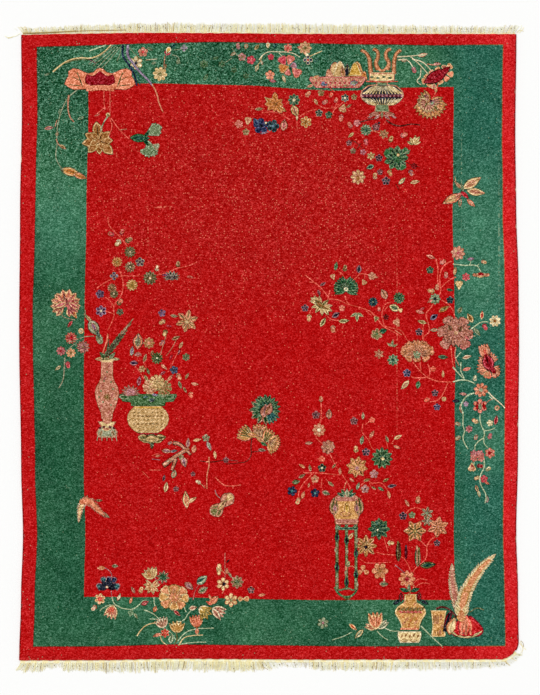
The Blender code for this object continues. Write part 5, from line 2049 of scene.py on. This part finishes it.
def overcast_cord(name, edge, side, material):
    """A ridged half-round cord along an edge of the cloth, outside it."""
    at, length = smooth_edge(edge)
    bpy.ops.mesh.primitive_grid_add(x_subdivisions=CORD_ROUND, y_subdivisions=CORD_RINGS, size=1)
    cord = bpy.context.object
    cord.name = name
    cord.data.uv_layers.active.name = "Weave"
    for vertex in cord.data.vertices:
        angle = math.pi * (vertex.co.x + 0.5) * (CORD_ROUND / (CORD_ROUND - 1))
        along = vertex.co.y + 0.5
        ridge = 1 + RIDGE * math.sin(2 * math.pi * along * length / STITCH + 2.5 * angle)
        place, out, _ = at(along, side)
        if angle > math.pi + 0.01:
            angle, ridge = 0.0, 1 + RIDGE * math.sin(2 * math.pi * along * length / STITCH)
        middle = place + out * (PIECE_GAP + CORD_WIDTH / 2)
        across = out * (CORD_WIDTH / 2 * math.cos(angle)) * min(ridge, 1.0)
        lift = max(0.3 * MM, (CORD_HEIGHT - 0.5 * MM) * math.sin(angle) * ridge)
        vertex.co = middle + across + Vector((0, 0, lift))
    for loop in cord.data.uv_layers["Weave"].uv:
        loop.vector.y *= length
    bpy.ops.object.mode_set(mode="EDIT")
    bpy.ops.mesh.select_all(action="SELECT")
    bpy.ops.mesh.remove_doubles(threshold=0.02 * MM)
    bpy.ops.mesh.fill_holes(sides=20)
    bpy.ops.object.mode_set(mode="OBJECT")
    face_outwards()
    bpy.ops.object.shade_smooth_by_angle(angle=math.radians(60))
    cord.data.materials.append(material)
    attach(cord, "root")
    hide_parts(name.replace("overcast", "side"))
    return cord


EDGE_STEPS = 42
CORNER_STEPS = 12
CORDED_TURN = 0.68
FRINGED_TURN = 0.62


def corner_arc(turn):
    """The place on the worn corner, from the bottom edge at turn 0 to the right edge at turn 1."""
    angle = math.radians(-90 + 90 * turn)
    return corner_centre + WORN_CORNER_RADIUS * Vector((math.cos(angle), math.sin(angle), 0))


def arc_between(first, last):
    """Points along the worn corner between two turns of its arc."""
    return [corner_arc(first + (last - first) * i / CORNER_STEPS) for i in range(CORNER_STEPS + 1)]


left_edge = [on_cloth(0, i / EDGE_STEPS) for i in range(EDGE_STEPS + 1)]
right_edge = [on_cloth(1, i / EDGE_STEPS) for i in range(EDGE_STEPS + 1)]
right_edge = arc_between(CORDED_TURN, 1) + [p for p in right_edge if p.y > corner_centre.y + MM]
cord_material = cord_wool()
left_cord = overcast_cord("overcast_cord_left", left_edge, -1, cord_material)
right_cord = overcast_cord("overcast_cord_right", right_edge, 1, cord_material)
print("overcast cords of", len(left_cord.data.polygons), "and", len(right_cord.data.polygons), "faces")

# %% [markdown]
# ## Web and fringe
# At each end the weaver wove a narrow web of plain cotton to lock the knots, and left the warps
# beyond it as fringe. The web is a thin strip with a rib for each thread. The fringe is over a
# thousand thin lines in locks of a few threads, lying on the floor. How long they are and how they
# lean changes along the edge, as the photograph shows: a gap near the left of the lower end, a
# stretch with hardly any threads right of its middle, and tufts swept out at the corners.

# %% Cotton yarns
COTTON = {
    "ivory": dye(255, 254, 240),
    "cream_cotton": dye(255, 253, 220),
    "straw": dye(255, 245, 192),
    "flax": dye(244, 226, 166),
    # The last two cottons are painted shade: darker threads and short specks where the locks shade one
    # another, and a dark line where the web shades the fringe's roots
    "shade": dye(176, 150, 96),
    "shadow_cotton": dye(128, 114, 58),
}
YARN.update(COTTON)


def cotton_material():
    """Undyed cotton, a little uneven."""
    recipe = Recipe("undyed_warp_cotton")
    dyed = recipe.node("ShaderNodeAttribute", attribute_name="Yarn").outputs["Color"]
    place = recipe.place()
    uneven = recipe.maths("MULTIPLY_ADD", recipe.tufts(place, 6 * MM), 0.05, 1.0)
    cloud = recipe.maths("MULTIPLY_ADD", recipe.noise(place, 0.03, 2.0), 0.03, uneven)
    twist = recipe.node("ShaderNodeTexWave", bands_direction="DIAGONAL")
    recipe.feed(twist.inputs["Vector"], place)
    twist.inputs["Scale"].default_value = 180
    return finish_wool(recipe, recipe.scaled(dyed, cloud), twist.outputs["Fac"], 0.15 * MM)


cotton = cotton_material()

# (share of the end's run, length in mm, lean in mm, threads a lock, share of pale threads)
TOP_LIE = (
    (0.00, 46, -24, 4, 0.2), (0.02, 40, -10, 4, 0.3), (0.06, 42, -4, 4, 0.3), (0.12, 50, 5, 5, 0.3),
    (0.25, 56, -4, 5, 0.4), (0.40, 54, 7, 5, 0.4), (0.52, 58, -3, 5, 0.3), (0.68, 54, 5, 5, 0.4),
    (0.80, 48, -4, 4, 0.5), (0.95, 44, 6, 4, 0.5), (1.00, 52, 26, 4, 0.4),
)
BOTTOM_LIE = (
    (0.00, 64, -24, 5, 0.2), (0.04, 66, -10, 5, 0.2), (0.062, 46, 8, 3, 0.4), (0.076, 44, 8, 2, 0.8),
    (0.09, 64, -3, 5, 0.3), (0.22, 70, 5, 5, 0.4), (0.36, 68, -6, 5, 0.3), (0.46, 70, 4, 6, 0.1),
    (0.49, 62, 18, 3, 0.4), (0.53, 42, 12, 1.6, 0.8), (0.57, 46, 6, 2, 0.8), (0.60, 62, 4, 5, 0.4),
    (0.75, 64, -5, 5, 0.5), (0.85, 58, 5, 4, 0.8), (0.93, 54, 4, 4, 0.8), (0.962, 44, 12, 3, 0.9),
    (1.00, 46, 16, 3, 0.9),
)
LOCKS = 258
WEB_HEIGHT = 2.6 * MM
THREAD = 1.0 * MM
# Share of locks that get a short dark thread at mid-length, which is painted shadow in the gap between locks
LOCK_SHADOW_SHARE = 0.24
CREAM_SHARE, FLAX_SHARE, SHADE_SHARE = 0.35, 0.13, 0.035
print("cotton ready,", LOCKS, "locks an end")

# %% Web strips
WEB_THREADS = 900
WEB_PATCH = 31 * MM


def web_strip(name, edge, side, depth):
    """A low strip along an end, with a rib for each warp thread."""
    at, length = smooth_edge(edge)
    bpy.ops.mesh.primitive_grid_add(x_subdivisions=WEB_THREADS, y_subdivisions=5, size=1)
    strip = bpy.context.object
    strip.name = name
    for vertex in strip.data.vertices:
        along, across = vertex.co.x + 0.5, vertex.co.y + 0.5
        place, out, _ = at(along, side)
        rib = 0.25 * MM * (1 if round(along * WEB_THREADS) % 2 else -1)
        roll = math.sin(math.pi * (0.12 + 0.8 * across))
        fray = 0.6 * MM * math.sin(41 * along * length) * across
        vertex.co = place + out * (PIECE_GAP + depth * across + fray)
        vertex.co.z = WEB_HEIGHT * roll + rib
    bpy.ops.object.modifier_add(type="SOLIDIFY")
    strip.modifiers["Solidify"].thickness = 0.8 * MM
    strip.modifiers["Solidify"].offset = -1
    bpy.ops.object.modifier_apply(modifier="Solidify")
    face_outwards()
    for vertex in strip.data.vertices:
        vertex.co.z = max(vertex.co.z, 0.2 * MM)
    set_tones(strip, lambda centre: int(centre.x / WEB_PATCH) % 2)
    dress(strip, "cream_cotton straw")
    return strip


def lying_thread(root, out, ahead, length, lean, chance):
    """A thread from its root in the web to its tip on the floor, as (place, radius)."""
    steps = 5
    bend = chance.uniform(-1, 1) * 3.2 * MM
    twist = chance.uniform(0, 6)
    line = []
    for i in range(steps + 1):
        part = i / steps
        sway = lean * part**1.4 + bend * math.sin(2.6 * part + twist) * part
        place = root + out * length * part + ahead * sway
        place.z = (1 - part) ** 1.5 * 1.6 * MM + 1.2 * MM + 1.4 * MM * math.sin(math.pi * part)
        line.append((place, THREAD * (1.05 - 0.35 * part) * chance.uniform(0.92, 1.12)))
    return line


def fringe(name, edge, side, depth, lie, strays, seed):
    """Web and threads of one end, as one piece. strays are extra lines, as points and a width."""
    chance = random.Random(seed)
    at, _ = smooth_edge(edge)
    by_yarn = {word: [] for word in COTTON}
    for i in range(LOCKS):
        share = (i + 0.5) / LOCKS
        reach, lean, count, pale = (smooth_between(lie, share, column) for column in (1, 2, 3, 4))
        lock_lean = lean + chance.uniform(-5, 5)
        lock_reach = reach * chance.uniform(0.86, 1.1) - depth / MM
        threads = int(count) + (chance.random() < count % 1)
        for j in range(threads):
            spot = share + (j + 0.5 - threads / 2) / threads * 0.85 / LOCKS
            place, out, ahead = at(min(max(spot, 0.0), 1.0), side)
            root = place + out * (PIECE_GAP + depth * 0.8)
            spread = (j + 0.5 - threads / 2) * chance.uniform(0.5, 2.4)
            thread_reach = lock_reach * chance.uniform(0.8, 1.05) + depth * 0.2 / MM
            lean_here = (lock_lean + spread) * MM
            line = lying_thread(root, out, ahead, thread_reach * MM, lean_here, chance)
            pick = chance.random()
            word = "ivory" if pick < pale else "cream_cotton" if pick < pale + CREAM_SHARE else "straw"
            if chance.random() < FLAX_SHARE:
                word = "flax"
            if chance.random() < SHADE_SHARE:
                word = "shade"
            by_yarn[word].append(line)
        # A short dark thread laid over the lock is painted shadow in the gap between locks
        if chance.random() < LOCK_SHADOW_SHARE:
            start = root + out * chance.uniform(0.3, 0.6) * thread_reach * MM + Vector((0, 0, 4 * MM))
            finish = start + (out + ahead * chance.uniform(-0.6, 0.6)) * 6 * MM
            by_yarn["shadow_cotton"].append([(start, 1.5 * MM), (finish, 1.5 * MM)])
    pieces = [web_strip(name + "_web", edge, side, depth)]
    for word, lines in by_yarn.items():
        if lines:
            threads_of_yarn = mesh_of_lines(name, "POLY", lines)
            set_tones(threads_of_yarn, lambda centre: 0)
            dress(threads_of_yarn, word)
            pieces.append(threads_of_yarn)
    for word, width, *points in strays:
        places = [from_photo(*point) + Vector((0, 0, 1.6 * MM)) for point in points]
        stray = mesh_of_lines(name, "BEZIER", [[(place, width * MM / 2) for place in places]])
        set_tones(stray, lambda centre: 0)
        dress(stray, word)
        pieces.append(stray)
    made = joined(name, pieces)
    made.data.attributes.remove(made.data.attributes["tone"])
    made.data.materials.clear()
    made.data.materials.append(cotton)
    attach(made, "root")
    print(name, "has", sum(len(lines) for lines in by_yarn.values()), "threads and",
          len(made.data.polygons), "faces")
    return made


END_STEPS = 34
top_edge = [on_cloth(i / END_STEPS, 1) for i in range(END_STEPS + 1)]
bottom_edge = [on_cloth(i / END_STEPS, 0) for i in range(END_STEPS + 1)]
bottom_edge = [p for p in bottom_edge if p.x < corner_centre.x - MM] + arc_between(0, FRINGED_TURN)

TOP_STRAYS = (
    # The wide shade and dark lines at the top left are painted shadow where the web shades the fringe's roots
    ("shade", 11.0, (23, 33.0), (45, 32.4), (62, 31.6), (78, 30.8)),
    ("shadow_cotton", 6.0, (24, 33.4), (40, 33.1), (56, 32.4)),
    ("shade", 9.0, (76, 30.9), (94, 30.4), (126, 29.8)),
    ("cream_cotton", 3.0, (20, 33), (16, 35.5), (12, 36.5), (8, 37.2), (4.5, 35.8)),
    ("straw", 2.6, (14, 35.8), (11, 36.8), (7, 37.6)), ("flax", 2.2, (12, 37), (8, 38)),
    ("ivory", 2.4, (17, 30), (14, 28)), ("straw", 2.4, (519, 33), (522, 30), (524, 27)),
    ("cream_cotton", 2.6, (518, 32), (521, 28), (522, 25)), ("flax", 2.0, (517, 33), (519, 30), (524, 31)),
)
BOTTOM_STRAYS = (
    ("straw", 2.6, (520.6, 641.5), (522.5, 646), (526, 650)),
    ("flax", 2.4, (519.5, 643), (523, 648), (522, 653)),
    ("ivory", 2.6, (518, 645), (521, 650), (520, 656)), ("shade", 2.2, (521, 641), (523, 643), (524, 647)),
    ("flax", 2.4, (255, 661), (258, 665), (264, 669)), ("shade", 2.2, (258, 661), (262, 666), (268, 670)),
    ("flax", 2.2, (263, 661), (267, 666), (272, 669)), ("ivory", 2.4, (280, 661), (288, 666), (297, 668)),
)
top_fringe = fringe("fringe_and_web_top", top_edge, -1, 10 * MM, TOP_LIE, TOP_STRAYS, 11)
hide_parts("fringe_top")
bottom_fringe = fringe("fringe_and_web_bottom", bottom_edge, 1, 17 * MM, BOTTOM_LIE, BOTTOM_STRAYS, 7)
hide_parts("fringe_bottom")

# %% [markdown]
# ## Put the forms away
# The flat forms the sprays were cut from have done their work and leave the scene.

# %% Forms put away
for form in MOTIF.values():
    bpy.data.objects.remove(form)
